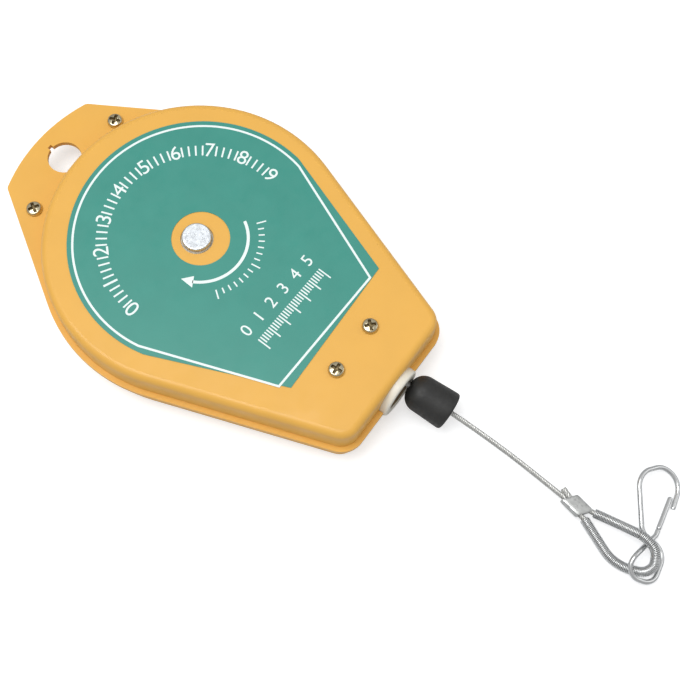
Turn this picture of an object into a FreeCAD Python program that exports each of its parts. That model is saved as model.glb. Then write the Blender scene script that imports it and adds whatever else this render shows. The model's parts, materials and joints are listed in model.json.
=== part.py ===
"""Spring balancer for hanging a hand tool: two pressed steel shells round a rope drum.

Frame: millimetres, +Z up.  The case lies on its back, so Z = 0 is the flat rear face and
the label looks up.  +Y points at the hanger hole, -Y is the way the rope leaves, and the
origin is under the middle of the case.
"""
import FreeCAD
import Part
import math
import os
import Sketcher

Vector = FreeCAD.Vector
Rotation = FreeCAD.Rotation
Placement = FreeCAD.Placement

SIZES = {
    # pressed shells, seen from the front and measured from the shaft axis
    "case_radius": 68.0,
    "rim_width": 2.2,
    "side_angle": 19.8,
    "bottom_drop": 105.9,
    "bottom_corner": 11.0,
    "tab_height": 23.0,
    "tab_arc_radius": 75.6,
    "tab_edge_angle": 31.8,
    "tab_corner": 3.0,
    "half_depth": 15.0,
    "sheet": 1.2,
    "draft": 1.0,
    "shoulder_radius": 3.2,
    "inner_radius": 1.9,
    # hanger hole with its flat and notch
    "hanger_radius": 7.5,
    "hanger_lift": 8.1,
    "hanger_flat": 6.65,
    "notch_width": 2.0,
    "notch_reach": 9.0,
    # dish in the rear shell for the ratchet
    "dish_radius": 32.0,
    "dish_depth": 6.0,
    "dish_round": 1.2,
    # screws, nuts and pillars
    "screw_radius": 2.0,
    "screw_hole_radius": 2.2,
    "screw_head_radius": 3.5,
    "screw_head_height": 2.4,
    "tab_screw_x": 27.3,
    "tab_screw_lift": 1.8,
    "tab_screw_length": 7.0,
    "nut_flats": 7.0,
    "nut_height": 3.2,
    "lower_screw_x": 11.8,
    "lower_screw_drop": 81.5,
    "lower_screw_length": 12.0,
    "pillar_radius": 3.0,
    "pillar_spigot_radius": 2.0,
    "thread_clearance": 0.05,
    # label plate
    "label_radius": 56.0,
    "label_bottom": 69.1,
    "label_corner_x": 32.0,
    "label_side_angle": 21.66,
    "label_hole_radius": 12.4,
    "label_thickness": 0.3,
    "label_shift_x": 1.05,
    "label_shift_y": -1.25,
    "label_turn": -1.7,
    # arbor
    "stud_radius": 6.25,
    "stud_proud": 2.55,
    "stud_round": 0.6,
    "stud_hole_radius": 7.0,
    "journal_radius": 7.0,
    "core_radius": 10.0,
    "arbor_end": 0.6,
    "flat_half": 5.5,
    "groove_radius": 5.5,
    "socket_flats": 8.0,
    "socket_depth": 9.0,
    # ratchet, clip and leaf pawl
    "ratchet_radius": 16.0,
    "ratchet_root": 13.0,
    "ratchet_width": 3.0,
    "ratchet_teeth": 16.0,
    "tooth_back_angle": 21.5,
    "clip_width": 0.8,
    "clip_outer_radius": 9.0,
    "clip_mouth": 8.0,
    "pawl_thickness": 0.8,
    "pawl_length": 18.0,
    "pawl_foot_start": 8.0,
    "pawl_foot_width": 5.8,
    "rivet_radius": 1.2,
    "rivet_head_radius": 2.0,
    "rivet_head_height": 0.7,
    # washers, bushes and the rope drum
    "washer_radius": 11.0,
    "washer_thickness": 1.0,
    "bush_sleeve_radius": 9.0,
    "bush_flange": 1.0,
    "drum_radius": 54.0,
    "drum_groove_radius": 48.5,
    "drum_cavity_radius": 44.3,
    "drum_web": 2.0,
    "drum_flange": 1.6,
    "drum_boss_radius": 13.0,
    "drum_boss_height": 1.0,
    "drum_cavity_depth": 12.5,
    "drum_screws": 3.0,
    "drum_screw_radius": 1.25,
    "drum_screw_head_radius": 1.9,
    "drum_screw_head_height": 1.2,
    "drum_screw_length": 8.0,
    "running_gap": 0.05,
    "end_gap": 0.2,
    # mainspring
    "spring_thickness": 0.8,
    "spring_coils": 9.5,
    "spring_gap": 0.3,
    # rope, its guide bush and its stopper
    "rope_radius": 1.15,
    "rope_turns": 4.0,
    "rope_gap": 0.1,
    "rope_lane": 2.0,
    "guide_radius": 11.35,
    "guide_throat": 6.75,
    "guide_flare": 1.75,
    "guide_round": 1.2,
    "guide_proud": 3.3,
    "guide_collar_radius": 12.6,
    "guide_collar_width": 1.5,
    "guide_gap": 0.15,
    "guide_seat_gap": 0.45,
    "stopper_length": 20.3,
    "stopper_base_radius": 8.55,
    "stopper_dome_radius": 8.1,
    "stopper_hole_radius": 1.55,
    "stopper_round": 0.8,
    "stopper_stand_off": 0.5,
    # ferrule, guard spring and wire hook
    "ferrule_length": 9.2,
    "ferrule_width": 7.0,
    "ferrule_height": 4.4,
    "ferrule_slant": 25.0,
    "ferrule_turn": -10.6,
    "guard_radius": 2.1,
    "guard_bore": 1.45,
    "hook_wire_radius": 1.05,
    "hook_joint_gap": 0.35,
}

doc = FreeCAD.newDocument("spring_balancer")
sheet = doc.addObject("Spreadsheet::Sheet", "Sizes")


class Dim:
    """A size with its value and the spreadsheet expression that gives it."""

    def __init__(self, value, text):
        self.value = float(value)
        self.text = text

    def __float__(self):
        return self.value

    def __add__(self, other):
        other = as_dim(other)
        return Dim(self.value + other.value, f"({self.text} + {other.text})")

    def __sub__(self, other):
        other = as_dim(other)
        return Dim(self.value - other.value, f"({self.text} - {other.text})")

    def __mul__(self, other):
        other = as_dim(other)
        return Dim(self.value * other.value, f"({self.text} * {other.text})")

    def __truediv__(self, other):
        other = as_dim(other)
        return Dim(self.value / other.value, f"({self.text} / {other.text})")

    def __neg__(self):
        return Dim(-self.value, f"(0 - {self.text})")


def as_dim(number):
    """Turn a plain number into a Dim; a Dim is returned as it is."""
    if isinstance(number, Dim):
        return number
    return Dim(number, repr(float(number)))


class Sizes:
    """The driving dimensions by name, each a Dim."""


size = Sizes()
for row, (alias, number) in enumerate(SIZES.items(), start=1):
    sheet.set(f"A{row}", alias)
    sheet.set(f"B{row}", str(number))
    sheet.setAlias(f"B{row}", alias)
    setattr(size, alias, Dim(number, f"Sizes.{alias}"))
doc.recompute()

# ---- places worked out from the driving dimensions ------------------------------------

tab_top = size.case_radius + size.tab_height
tab_screw_rise = size.case_radius + size.tab_screw_lift
hanger_rise = size.case_radius + size.hanger_lift
shaft_y = (size.bottom_drop - size.rim_width + size.guide_proud - tab_top) / 2
mid_plane = size.half_depth
front_face = size.half_depth * 2
front_inside = front_face - size.sheet
wall_radius = size.case_radius - size.rim_width
wall_bottom = shaft_y - size.bottom_drop + size.rim_width
dish_inside = size.dish_depth + size.sheet
tab_front = mid_plane + size.sheet
tab_back = mid_plane - size.sheet

# levels along the shaft, from the rear up
washer_top = dish_inside + size.washer_thickness
bush_rear_bottom = washer_top + size.end_gap
drum_bottom = bush_rear_bottom + size.bush_flange
drum_floor = drum_bottom + size.drum_web
boss_top = drum_floor + size.drum_boss_height
drum_top = drum_floor + size.drum_cavity_depth
cover_boss_bottom = drum_top - size.drum_boss_height
cover_top = drum_top + size.drum_flange
bush_front_top = cover_top + size.bush_flange
journal_top = bush_front_top + size.end_gap / 2
spacer_bottom = bush_front_top + size.end_gap
spacer_top = front_inside - size.end_gap / 2
core_bottom = boss_top + size.end_gap
core_top = cover_boss_bottom - size.end_gap
ratchet_bottom = size.dish_depth - size.end_gap - size.ratchet_width
clip_bottom = ratchet_bottom - size.end_gap - size.clip_width
rope_radius_on_drum = size.drum_groove_radius + size.rope_radius + size.rope_gap / 2

# rope places
guide_end = wall_bottom - size.guide_proud
rope_x = size.guide_throat - size.rope_radius - size.guide_gap


# ---- building blocks ---------------------------------------------------------------

def new_body(name, at_shaft=False):
    """Start a PartDesign body; one at the shaft stands on the shaft's axis."""
    body = doc.addObject("PartDesign::Body", name)
    body.Label = name
    if at_shaft:
        body.setExpression("Placement.Base.y", shaft_y.text)
    return body


def new_sketch(body, name, plane="XY_Plane", height=None):
    """Add a sketch on one of the body's own origin planes, raised by height."""
    sketch = body.newObject("Sketcher::SketchObject", name)
    support = next(item for item in body.Origin.OriginFeatures if item.Role == plane)
    sketch.AttachmentSupport = [(support, "")]
    sketch.MapMode = "FlatFace"
    if height is not None:
        height = as_dim(height)
        sketch.AttachmentOffset = Placement(Vector(0, 0, float(height)), Rotation())
        sketch.setExpression("AttachmentOffset.Base.z", height.text)
    return sketch


def bind(sketch, kind, *where):
    """Add a dimension; its last argument is the Dim that drives it."""
    dim = as_dim(where[-1])
    value = math.radians(float(dim)) if kind == "Angle" else float(dim)
    index = sketch.addConstraint(Sketcher.Constraint(kind, *where[:-1], value))
    sketch.setExpression(f"Constraints[{index}]", dim.text)


def pin_point(sketch, geometry, position, x, y):
    """Hold a point of a sketch at x, y."""
    x = as_dim(x)
    y = as_dim(y)
    if float(x) == 0.0:
        sketch.addConstraint(Sketcher.Constraint("PointOnObject", geometry, position, -2))
    else:
        bind(sketch, "DistanceX", geometry, position, x)
    if float(y) == 0.0:
        sketch.addConstraint(Sketcher.Constraint("PointOnObject", geometry, position, -1))
    else:
        bind(sketch, "DistanceY", geometry, position, y)


def add_circle(sketch, x, y, radius):
    """Draw a circle with a driven centre and radius."""
    centre = Vector(float(as_dim(x)), float(as_dim(y)), 0)
    index = sketch.addGeometry(Part.Circle(centre, Vector(0, 0, 1), float(radius)), False)
    pin_point(sketch, index, 3, x, y)
    bind(sketch, "Radius", index, radius)


def add_polygon(sketch, points):
    """Draw a closed polygon whose corners are all driven."""
    corners = [Vector(float(as_dim(x)), float(as_dim(y)), 0) for x, y in points]
    first = sketch.GeometryCount
    count = len(points)
    for index, corner in enumerate(corners):
        line = Part.LineSegment(corner, corners[(index + 1) % count])
        sketch.addGeometry(line, False)
    for index in range(count):
        following = first + (index + 1) % count
        joint = Sketcher.Constraint("Coincident", first + index, 2, following, 1)
        sketch.addConstraint(joint)
    for index, (x, y) in enumerate(points):
        pin_point(sketch, first + index, 1, x, y)


def add_hexagon(sketch, x, y, flats):
    """Draw a hexagon with two flats square to the X axis."""
    reach = flats / math.sqrt(3.0)
    x = as_dim(x)
    y = as_dim(y)
    add_polygon(sketch, [
        (x + flats / 2, y + reach / 2),
        (x, y + reach),
        (x - flats / 2, y + reach / 2),
        (x - flats / 2, y - reach / 2),
        (x, y - reach),
        (x + flats / 2, y - reach / 2),
    ])


def arc_piece(centre, radius, start, end):
    """An arc through angles in degrees, drawn anticlockwise."""
    circle = Part.Circle(Vector(centre[0], centre[1], 0), Vector(0, 0, 1), radius)
    return Part.ArcOfCircle(circle, math.radians(start), math.radians(end))


def on_circle(centre, radius, angle):
    """The point of a circle at an angle in degrees."""
    turn = math.radians(angle)
    return (centre[0] + radius * math.cos(turn), centre[1] + radius * math.sin(turn))


def line_piece(start, end):
    return Part.LineSegment(Vector(*start, 0), Vector(*end, 0))


def close_tangent(sketch, pieces):
    """Add the pieces as a ring in which each runs smoothly into the next."""
    indexes = [sketch.addGeometry(piece, False) for piece in pieces]
    for index, piece in enumerate(indexes):
        following = indexes[(index + 1) % len(indexes)]
        sketch.addConstraint(Sketcher.Constraint("Tangent", piece, 2, following, 1))
    return indexes


def pad(body, name, sketch, length, downward=False, taper=None):
    feature = body.newObject("PartDesign::Pad", name)
    feature.Profile = sketch
    feature.Reversed = downward
    feature.Length = float(length)
    feature.setExpression("Length", as_dim(length).text)
    if taper is not None:
        feature.TaperAngle = float(taper)
        feature.setExpression("TaperAngle", as_dim(taper).text)
    sketch.Visibility = False
    return feature


def pocket(body, name, sketch, length, upward=False, taper=None):
    """Cut down from the sketch, or up from it, and make sure that something went."""
    doc.recompute()
    before = body.Shape.Volume
    feature = body.newObject("PartDesign::Pocket", name)
    feature.Profile = sketch
    feature.Reversed = upward
    feature.Length = float(length)
    feature.setExpression("Length", as_dim(length).text)
    if taper is not None:
        feature.TaperAngle = float(taper)
        feature.setExpression("TaperAngle", as_dim(taper).text)
    doc.recompute()
    if not body.Shape.Volume < before:
        raise RuntimeError(f"{name} removed nothing")
    return feature


def revolve(body, name, sketch):
    """Turn a profile round the sketch's own upright axis."""
    feature = body.newObject("PartDesign::Revolution", name)
    feature.Profile = sketch
    feature.ReferenceAxis = (sketch, ["V_Axis"])
    feature.Angle = 360.0
    return feature


def edge_names(shape, wanted):
    """Names of the edges for which wanted(edge) is true."""
    names = []
    for number, edge in enumerate(shape.Edges, start=1):
        if wanted(edge):
            names.append(f"Edge{number}")
    return names


def fillet(body, name, base, wanted, radius):
    doc.recompute()
    feature = body.newObject("PartDesign::Fillet", name)
    feature.Base = (base, edge_names(base.Shape, wanted))
    feature.Radius = float(radius)
    feature.setExpression("Radius", as_dim(radius).text)
    return feature


def at_height(height):
    """A test for edges that lie wholly at one height."""
    level = float(as_dim(height))

    def test(edge):
        box = edge.BoundBox
        return abs(box.ZMin - level) < 0.01 and abs(box.ZMax - level) < 0.01
    return test


def place(feature, x=0, y=0, z=0):
    """Put an object at x, y, z through expressions."""
    for axis, distance in zip("xyz", (x, y, z)):
        dim = as_dim(distance)
        feature.setExpression(f"Placement.Base.{axis}", dim.text)


def cylinder(name, radius, height, x=0, y=0, z=0):
    """An upright Part cylinder standing at x, y, z."""
    solid = doc.addObject("Part::Cylinder", name)
    solid.setExpression("Radius", as_dim(radius).text)
    solid.setExpression("Height", as_dim(height).text)
    place(solid, x, y, z)
    return solid


def group(name, members):
    """Join separate solids into one named sub-part."""
    compound = doc.addObject("Part::Compound", name)
    compound.Links = members
    compound.Label = name
    return compound


def fuse(name, members):
    joined = doc.addObject("Part::MultiFuse", name)
    joined.Shapes = members
    return joined


def cut(name, base, tool):
    result = doc.addObject("Part::Cut", name)
    result.Base = base
    result.Tool = tool
    return result


def shape_part(name, shape):
    """A sub-part whose shape is made with Part's own functions."""
    feature = doc.addObject("Part::Feature", name)
    feature.Shape = shape
    feature.Label = name
    return feature


# ---- pressed shells ----------------------------------------------------------------

def tray_outline(sketch, radius, bottom, corner):
    """Disc outline that narrows by two tangent sides to a straight bottom edge."""
    angle = float(size.side_angle)
    centre = (0.0, float(shaft_y))
    rad = float(radius)
    low = float(bottom)
    bend = float(corner)
    lean = math.radians(angle)
    # the corner arc's centre keeps its radius from the side line and from the bottom
    corner_y = low + bend
    corner_x = ((rad - bend) + (corner_y - centre[1]) * math.sin(lean)) / math.cos(lean)
    right = (corner_x, corner_y)
    left = (-corner_x, corner_y)
    pieces = [
        arc_piece(centre, rad, -angle, 180.0 + angle),
        line_piece(on_circle(centre, rad, 180.0 + angle), on_circle(left, bend, 180.0 + angle)),
        arc_piece(left, bend, 180.0 + angle, 270.0),
        line_piece((left[0], low), (right[0], low)),
        arc_piece(right, bend, 270.0, 360.0 - angle),
        line_piece(on_circle(right, bend, -angle), on_circle(centre, rad, -angle)),
    ]
    disc, left_side, left_bend, base, right_bend, right_side = close_tangent(sketch, pieces)
    pin_point(sketch, disc, 3, 0, shaft_y)
    bind(sketch, "Radius", disc, radius)
    bind(sketch, "Radius", left_bend, corner)
    bind(sketch, "Radius", right_bend, corner)
    sketch.addConstraint(Sketcher.Constraint("Horizontal", base))
    bind(sketch, "DistanceY", base, 1, bottom)
    bind(sketch, "Angle", left_side, size.side_angle - 90)
    bind(sketch, "Angle", right_side, as_dim(90) - size.side_angle)


def flange_outline(sketch):
    """Outline of the rim and, above it, of the hanger tab."""
    angle = float(size.side_angle)
    tab = float(size.tab_edge_angle)
    centre = (0.0, float(shaft_y))
    rad = float(size.case_radius)
    low = float(shaft_y - size.bottom_drop)
    bend = float(size.bottom_corner)
    nose = float(size.tab_corner)
    lean = math.radians(angle)
    corner_y = low + bend
    corner_x = ((rad - bend) + (corner_y - centre[1]) * math.sin(lean)) / math.cos(lean)
    crown = float(size.tab_arc_radius)
    crown_y = centre[1] + float(tab_top) - crown
    # the tab corner's arc touches the slanted tab edge and the crown from inside
    reach = crown - nose
    normal = math.radians(tab)
    offset = rad - nose - (crown_y - centre[1]) * math.sin(normal)
    swing = math.degrees(math.acos(offset / reach))
    right_nose = on_circle((0.0, crown_y), reach, tab + swing)
    left_nose = (-right_nose[0], right_nose[1])
    right = (corner_x, corner_y)
    left = (-corner_x, corner_y)
    pieces = [
        arc_piece(centre, rad, 180.0 - tab, 180.0 + angle),
        line_piece(on_circle(centre, rad, 180.0 + angle), on_circle(left, bend, 180.0 + angle)),
        arc_piece(left, bend, 180.0 + angle, 270.0),
        line_piece((left[0], low), (right[0], low)),
        arc_piece(right, bend, 270.0, 360.0 - angle),
        line_piece(on_circle(right, bend, -angle), on_circle(centre, rad, -angle)),
        arc_piece(centre, rad, -angle, tab),
        line_piece(on_circle(centre, rad, tab), on_circle(right_nose, nose, tab)),
        arc_piece(right_nose, nose, tab, tab + swing),
        arc_piece((0.0, crown_y), crown, tab + swing, 180.0 - tab - swing),
        arc_piece(left_nose, nose, 180.0 - tab - swing, 180.0 - tab),
        line_piece(on_circle(left_nose, nose, 180.0 - tab), on_circle(centre, rad, 180.0 - tab)),
    ]
    (left_arc, left_side, left_bend, base, right_bend, right_side, right_arc,
     right_edge, right_tip, top, left_tip, left_edge) = close_tangent(sketch, pieces)
    for arc in (left_arc, right_arc):
        pin_point(sketch, arc, 3, 0, shaft_y)
        bind(sketch, "Radius", arc, size.case_radius)
    for arc in (left_bend, right_bend):
        bind(sketch, "Radius", arc, size.bottom_corner)
    for arc in (left_tip, right_tip):
        bind(sketch, "Radius", arc, size.tab_corner)
    sketch.addConstraint(Sketcher.Constraint("Horizontal", base))
    bind(sketch, "DistanceY", base, 1, shaft_y - size.bottom_drop)
    bind(sketch, "Angle", left_side, size.side_angle - 90)
    bind(sketch, "Angle", right_side, as_dim(90) - size.side_angle)
    bind(sketch, "Angle", right_edge, size.tab_edge_angle + 90)
    bind(sketch, "Angle", left_edge, as_dim(-90) - size.tab_edge_angle)
    pin_point(sketch, top, 3, 0, shaft_y + tab_top - size.tab_arc_radius)
    bind(sketch, "Radius", top, size.tab_arc_radius)


def hanger_outline(sketch):
    """Round hanger hole with a flat on the drum side and a notch at the top."""
    radius = float(size.hanger_radius)
    centre_y = shaft_y + hanger_rise
    centre = (0.0, float(centre_y))
    flat_angle = math.degrees(math.asin(float(size.hanger_flat) / radius))
    notch_angle = math.degrees(math.asin(float(size.notch_width) / 2 / radius))
    start = -flat_angle
    low_left = on_circle(centre, radius, 180.0 + flat_angle)
    low_right = on_circle(centre, radius, start)
    high_right = on_circle(centre, radius, 90.0 - notch_angle)
    high_left = on_circle(centre, radius, 90.0 + notch_angle)
    top = centre[1] + float(size.notch_reach)
    pieces = [
        arc_piece(centre, radius, start, 90.0 - notch_angle),
        line_piece(high_right, (high_right[0], top)),
        line_piece((high_right[0], top), (high_left[0], top)),
        line_piece((high_left[0], top), high_left),
        arc_piece(centre, radius, 90.0 + notch_angle, 180.0 + flat_angle),
        line_piece(low_left, low_right),
    ]
    indexes = [sketch.addGeometry(piece, False) for piece in pieces]
    for index, piece in enumerate(indexes):
        following = indexes[(index + 1) % len(indexes)]
        sketch.addConstraint(Sketcher.Constraint("Coincident", piece, 2, following, 1))
    right_arc, right_wall, lintel, left_wall, left_arc, flat = indexes
    for arc in (right_arc, left_arc):
        pin_point(sketch, arc, 3, 0, centre_y)
        bind(sketch, "Radius", arc, size.hanger_radius)
    for wall in (right_wall, left_wall):
        sketch.addConstraint(Sketcher.Constraint("Vertical", wall))
    for level in (lintel, flat):
        sketch.addConstraint(Sketcher.Constraint("Horizontal", level))
    bind(sketch, "DistanceX", right_wall, 2, size.notch_width / 2)
    bind(sketch, "DistanceX", left_wall, 1, -(size.notch_width / 2))
    bind(sketch, "DistanceY", lintel, 1, centre_y + size.notch_reach)
    bind(sketch, "DistanceY", flat, 1, centre_y - size.hanger_flat)


def shell_holes(body, height, through, downward):
    """Hanger hole and tab screw holes, cut through the rim's sheet."""
    hanger = new_sketch(body, f"{body.Name}_hanger_hole", height=height)
    hanger_outline(hanger)
    pocket(body, f"{body.Name}_hanger_cut", hanger, through, upward=not downward)
    screws = new_sketch(body, f"{body.Name}_tab_screw_holes", height=height)
    for side in (1, -1):
        add_circle(screws, size.tab_screw_x * side, shaft_y + tab_screw_rise,
                   size.screw_hole_radius)
    pocket(body, f"{body.Name}_tab_screw_cut", screws, through, upward=not downward)


def guide_cut(body):
    """Half of the round mouth that holds the guide bush."""
    mouth = new_sketch(body, f"{body.Name}_guide_mouth", plane="XZ_Plane",
                       height=size.bottom_drop - shaft_y - size.bottom_corner)
    add_circle(mouth, 0, mid_plane, size.guide_radius + size.guide_gap)
    pocket(body, f"{body.Name}_guide_cut", mouth, size.bottom_corner * 2, upward=True)


def front_shell():
    """Front tray: label face, soft shoulder, upright wall, rim and tab."""
    body = new_body("front_shell")
    rim = new_sketch(body, "front_rim_outline", height=mid_plane)
    flange_outline(rim)
    pad(body, "front_rim", rim, size.sheet)
    outside = new_sketch(body, "front_tray_outline", height=mid_plane)
    tray_outline(outside, wall_radius, wall_bottom, size.bottom_corner - size.rim_width)
    tray = pad(body, "front_tray", outside, size.half_depth, taper=-size.draft)
    shoulder = fillet(body, "front_shoulder", tray, at_height(front_face),
                      size.shoulder_radius)
    doc.recompute()
    inside = new_sketch(body, "front_hollow_outline", height=mid_plane)
    tray_outline(inside, wall_radius - size.sheet, wall_bottom + size.sheet,
                 size.bottom_corner - size.rim_width - size.sheet)
    hollow = pocket(body, "front_hollow", inside, size.half_depth - size.sheet,
                    upward=True, taper=-size.draft)
    fillet(body, "front_inner_bend", hollow, at_height(front_inside), size.inner_radius)
    doc.recompute()
    shell_holes(body, mid_plane, size.sheet * 2, downward=False)
    face_holes = new_sketch(body, "front_face_holes", height=front_face)
    add_circle(face_holes, 0, shaft_y, size.stud_hole_radius)
    for side in (1, -1):
        add_circle(face_holes, size.lower_screw_x * side, shaft_y - size.lower_screw_drop,
                   size.screw_hole_radius)
    pocket(body, "front_face_cut", face_holes, size.sheet * 2)
    guide_cut(body)
    return body


def rear_shell():
    """Rear tray: flat back with a pressed dish that holds the ratchet."""
    body = new_body("rear_shell")
    rim = new_sketch(body, "rear_rim_outline", height=mid_plane)
    flange_outline(rim)
    pad(body, "rear_rim", rim, size.sheet, downward=True)
    outside = new_sketch(body, "rear_tray_outline", height=mid_plane)
    tray_outline(outside, wall_radius, wall_bottom, size.bottom_corner - size.rim_width)
    tray = pad(body, "rear_tray", outside, size.half_depth, downward=True,
               taper=-size.draft)
    fillet(body, "rear_shoulder", tray, at_height(0), size.shoulder_radius)
    doc.recompute()
    inside = new_sketch(body, "rear_hollow_outline", height=mid_plane)
    tray_outline(inside, wall_radius - size.sheet, wall_bottom + size.sheet,
                 size.bottom_corner - size.rim_width - size.sheet)
    hollow = pocket(body, "rear_hollow", inside, size.half_depth - size.sheet,
                    taper=-size.draft)
    fillet(body, "rear_inner_bend", hollow, at_height(size.sheet), size.inner_radius)
    doc.recompute()
    dish = new_sketch(body, "rear_dish_outline")
    add_circle(dish, 0, shaft_y, size.dish_radius + size.sheet)
    pad(body, "rear_dish_wall", dish, dish_inside)
    hollow = new_sketch(body, "rear_dish_hollow_outline")
    add_circle(hollow, 0, shaft_y, size.dish_radius)
    sunk = pocket(body, "rear_dish", hollow, size.dish_depth, upward=True)

    def dish_rim(edge):
        centre = Vector(0, float(shaft_y), 0)
        on_back = at_height(0)(edge)
        return on_back and edge.CenterOfMass.distanceToPoint(centre) < 1.0
    fillet(body, "rear_dish_bend", sunk, dish_rim, size.dish_round)
    doc.recompute()
    shell_holes(body, mid_plane, size.sheet * 2, downward=True)
    bore = new_sketch(body, "rear_arbor_bore", height=size.dish_depth)
    add_circle(bore, 0, shaft_y, size.journal_radius + size.running_gap)
    for along in pawl_rivet_places:
        x, y = pawl_point(along, size.pawl_foot_width / 2 + size.pawl_thickness / 2)
        add_circle(bore, x, shaft_y + y, size.rivet_radius + size.running_gap)
    pocket(body, "rear_dish_holes", bore, size.sheet * 2, upward=True)
    spigots = new_sketch(body, "rear_spigot_holes")
    for side in (1, -1):
        add_circle(spigots, size.lower_screw_x * side, shaft_y - size.lower_screw_drop,
                   size.pillar_spigot_radius + size.running_gap)
    pocket(body, "rear_spigot_cut", spigots, size.sheet * 2, upward=True)
    guide_cut(body)
    return body


def label_plate():
    """Thin printed plate, stuck on very slightly off square."""
    body = new_body("label_plate")
    body.setExpression("Placement.Base.x", size.label_shift_x.text)
    body.setExpression("Placement.Base.y", (shaft_y + size.label_shift_y).text)
    body.setExpression("Placement.Base.z", front_face.text)
    body.Placement = Placement(
        Vector(float(size.label_shift_x), float(shaft_y + size.label_shift_y),
               float(front_face)),
        Rotation(Vector(0, 0, 1), float(size.label_turn)))
    body.setExpression("Placement.Rotation.Angle", f"abs({size.label_turn.text})")
    sketch = new_sketch(body, "label_outline")
    radius = float(size.label_radius)
    corner_x = float(size.label_corner_x)
    low = -float(size.label_bottom)
    lean = math.radians(float(size.label_side_angle))
    # the side line through the lower corner meets the disc at this angle
    distance = corner_x * math.cos(lean) - low * math.sin(lean)
    meet = math.degrees(math.acos(distance / radius)) - math.degrees(lean)
    right_meet = on_circle((0.0, 0.0), radius, meet)
    left_meet = (-right_meet[0], right_meet[1])
    pieces = [
        arc_piece((0.0, 0.0), radius, meet, 180.0 - meet),
        line_piece(left_meet, (-corner_x, low)),
        line_piece((-corner_x, low), (corner_x, low)),
        line_piece((corner_x, low), right_meet),
    ]
    indexes = [sketch.addGeometry(piece, False) for piece in pieces]
    for index, piece in enumerate(indexes):
        following = indexes[(index + 1) % len(indexes)]
        sketch.addConstraint(Sketcher.Constraint("Coincident", piece, 2, following, 1))
    disc, left_side, base, right_side = indexes
    pin_point(sketch, disc, 3, 0, 0)
    bind(sketch, "Radius", disc, size.label_radius)
    sketch.addConstraint(Sketcher.Constraint("Horizontal", base))
    bind(sketch, "DistanceY", base, 1, -size.label_bottom)
    bind(sketch, "DistanceX", base, 1, -size.label_corner_x)
    bind(sketch, "DistanceX", base, 2, size.label_corner_x)
    bind(sketch, "Angle", left_side, size.label_side_angle - 90)
    bind(sketch, "Angle", right_side, as_dim(90) - size.label_side_angle)
    add_circle(sketch, 0, 0, size.label_hole_radius)
    pad(body, "label_sheet", sketch, size.label_thickness)
    return body


# ---- fasteners ---------------------------------------------------------------------

def pan_screw(name, radius, head_radius, head_height, length, x, y, z):
    """A screw whose head sits on the level z and whose shank goes down."""
    head = cylinder(f"{name}_head", head_radius, head_height, x, y, z)
    shank = cylinder(f"{name}_shank", radius, length, x, y, as_dim(z) - length)
    return fuse(name, [head, shank])


def hex_nut(name, x, y, z):
    """A plain nut with its lower face at z."""
    prism = doc.addObject("Part::Prism", f"{name}_prism")
    prism.Polygon = 6
    prism.setExpression("Circumradius", (size.nut_flats / math.sqrt(3.0)).text)
    prism.setExpression("Height", size.nut_height.text)
    place(prism, x, y, z)
    thread = cylinder(f"{name}_thread", size.screw_radius + size.thread_clearance,
                      size.nut_height, x, y, z)
    return cut(name, prism, thread)


def pillar(name, x, y):
    """A spacer riveted to the rear shell and threaded for the lower screw."""
    tube = cylinder(f"{name}_tube", size.pillar_radius, front_inside - size.sheet,
                    x, y, size.sheet)
    spigot = cylinder(f"{name}_spigot", size.pillar_spigot_radius, size.sheet, x, y, 0)
    post = fuse(f"{name}_post", [tube, spigot])
    thread = cylinder(f"{name}_thread", size.screw_radius + size.thread_clearance,
                      size.lower_screw_length, x, y,
                      front_face - size.lower_screw_length - size.end_gap)
    return cut(name, post, thread)


def case_fasteners():
    tab_screws = []
    tab_nuts = []
    lower_screws = []
    pillars = []
    for side, hand in ((1, "right"), (-1, "left")):
        x = size.tab_screw_x * side
        y = shaft_y + tab_screw_rise
        tab_screws.append(pan_screw(f"tab_screw_{hand}", size.screw_radius,
                                    size.screw_head_radius, size.screw_head_height,
                                    size.tab_screw_length, x, y, tab_front))
        tab_nuts.append(hex_nut(f"tab_nut_{hand}", x, y, tab_back - size.nut_height))
        x = size.lower_screw_x * side
        y = shaft_y - size.lower_screw_drop
        lower_screws.append(pan_screw(f"lower_screw_{hand}", size.screw_radius,
                                      size.screw_head_radius, size.screw_head_height,
                                      size.lower_screw_length, x, y, front_face))
        pillars.append(pillar(f"pillar_{hand}", x, y))
    return [
        group("tab_screws", tab_screws),
        group("tab_nuts", tab_nuts),
        group("lower_screws", lower_screws),
        group("standoff_pillars", pillars),
    ]


# ---- arbor, ratchet and pawl ---------------------------------------------------------

def turned_body(name, profile):
    """A body of revolution about the shaft from its half section (radius, height)."""
    body = new_body(name, at_shaft=True)
    sketch = new_sketch(body, f"{name}_section", plane="XZ_Plane")
    add_polygon(sketch, profile)
    return body, revolve(body, f"{name}_turned", sketch)


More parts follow.
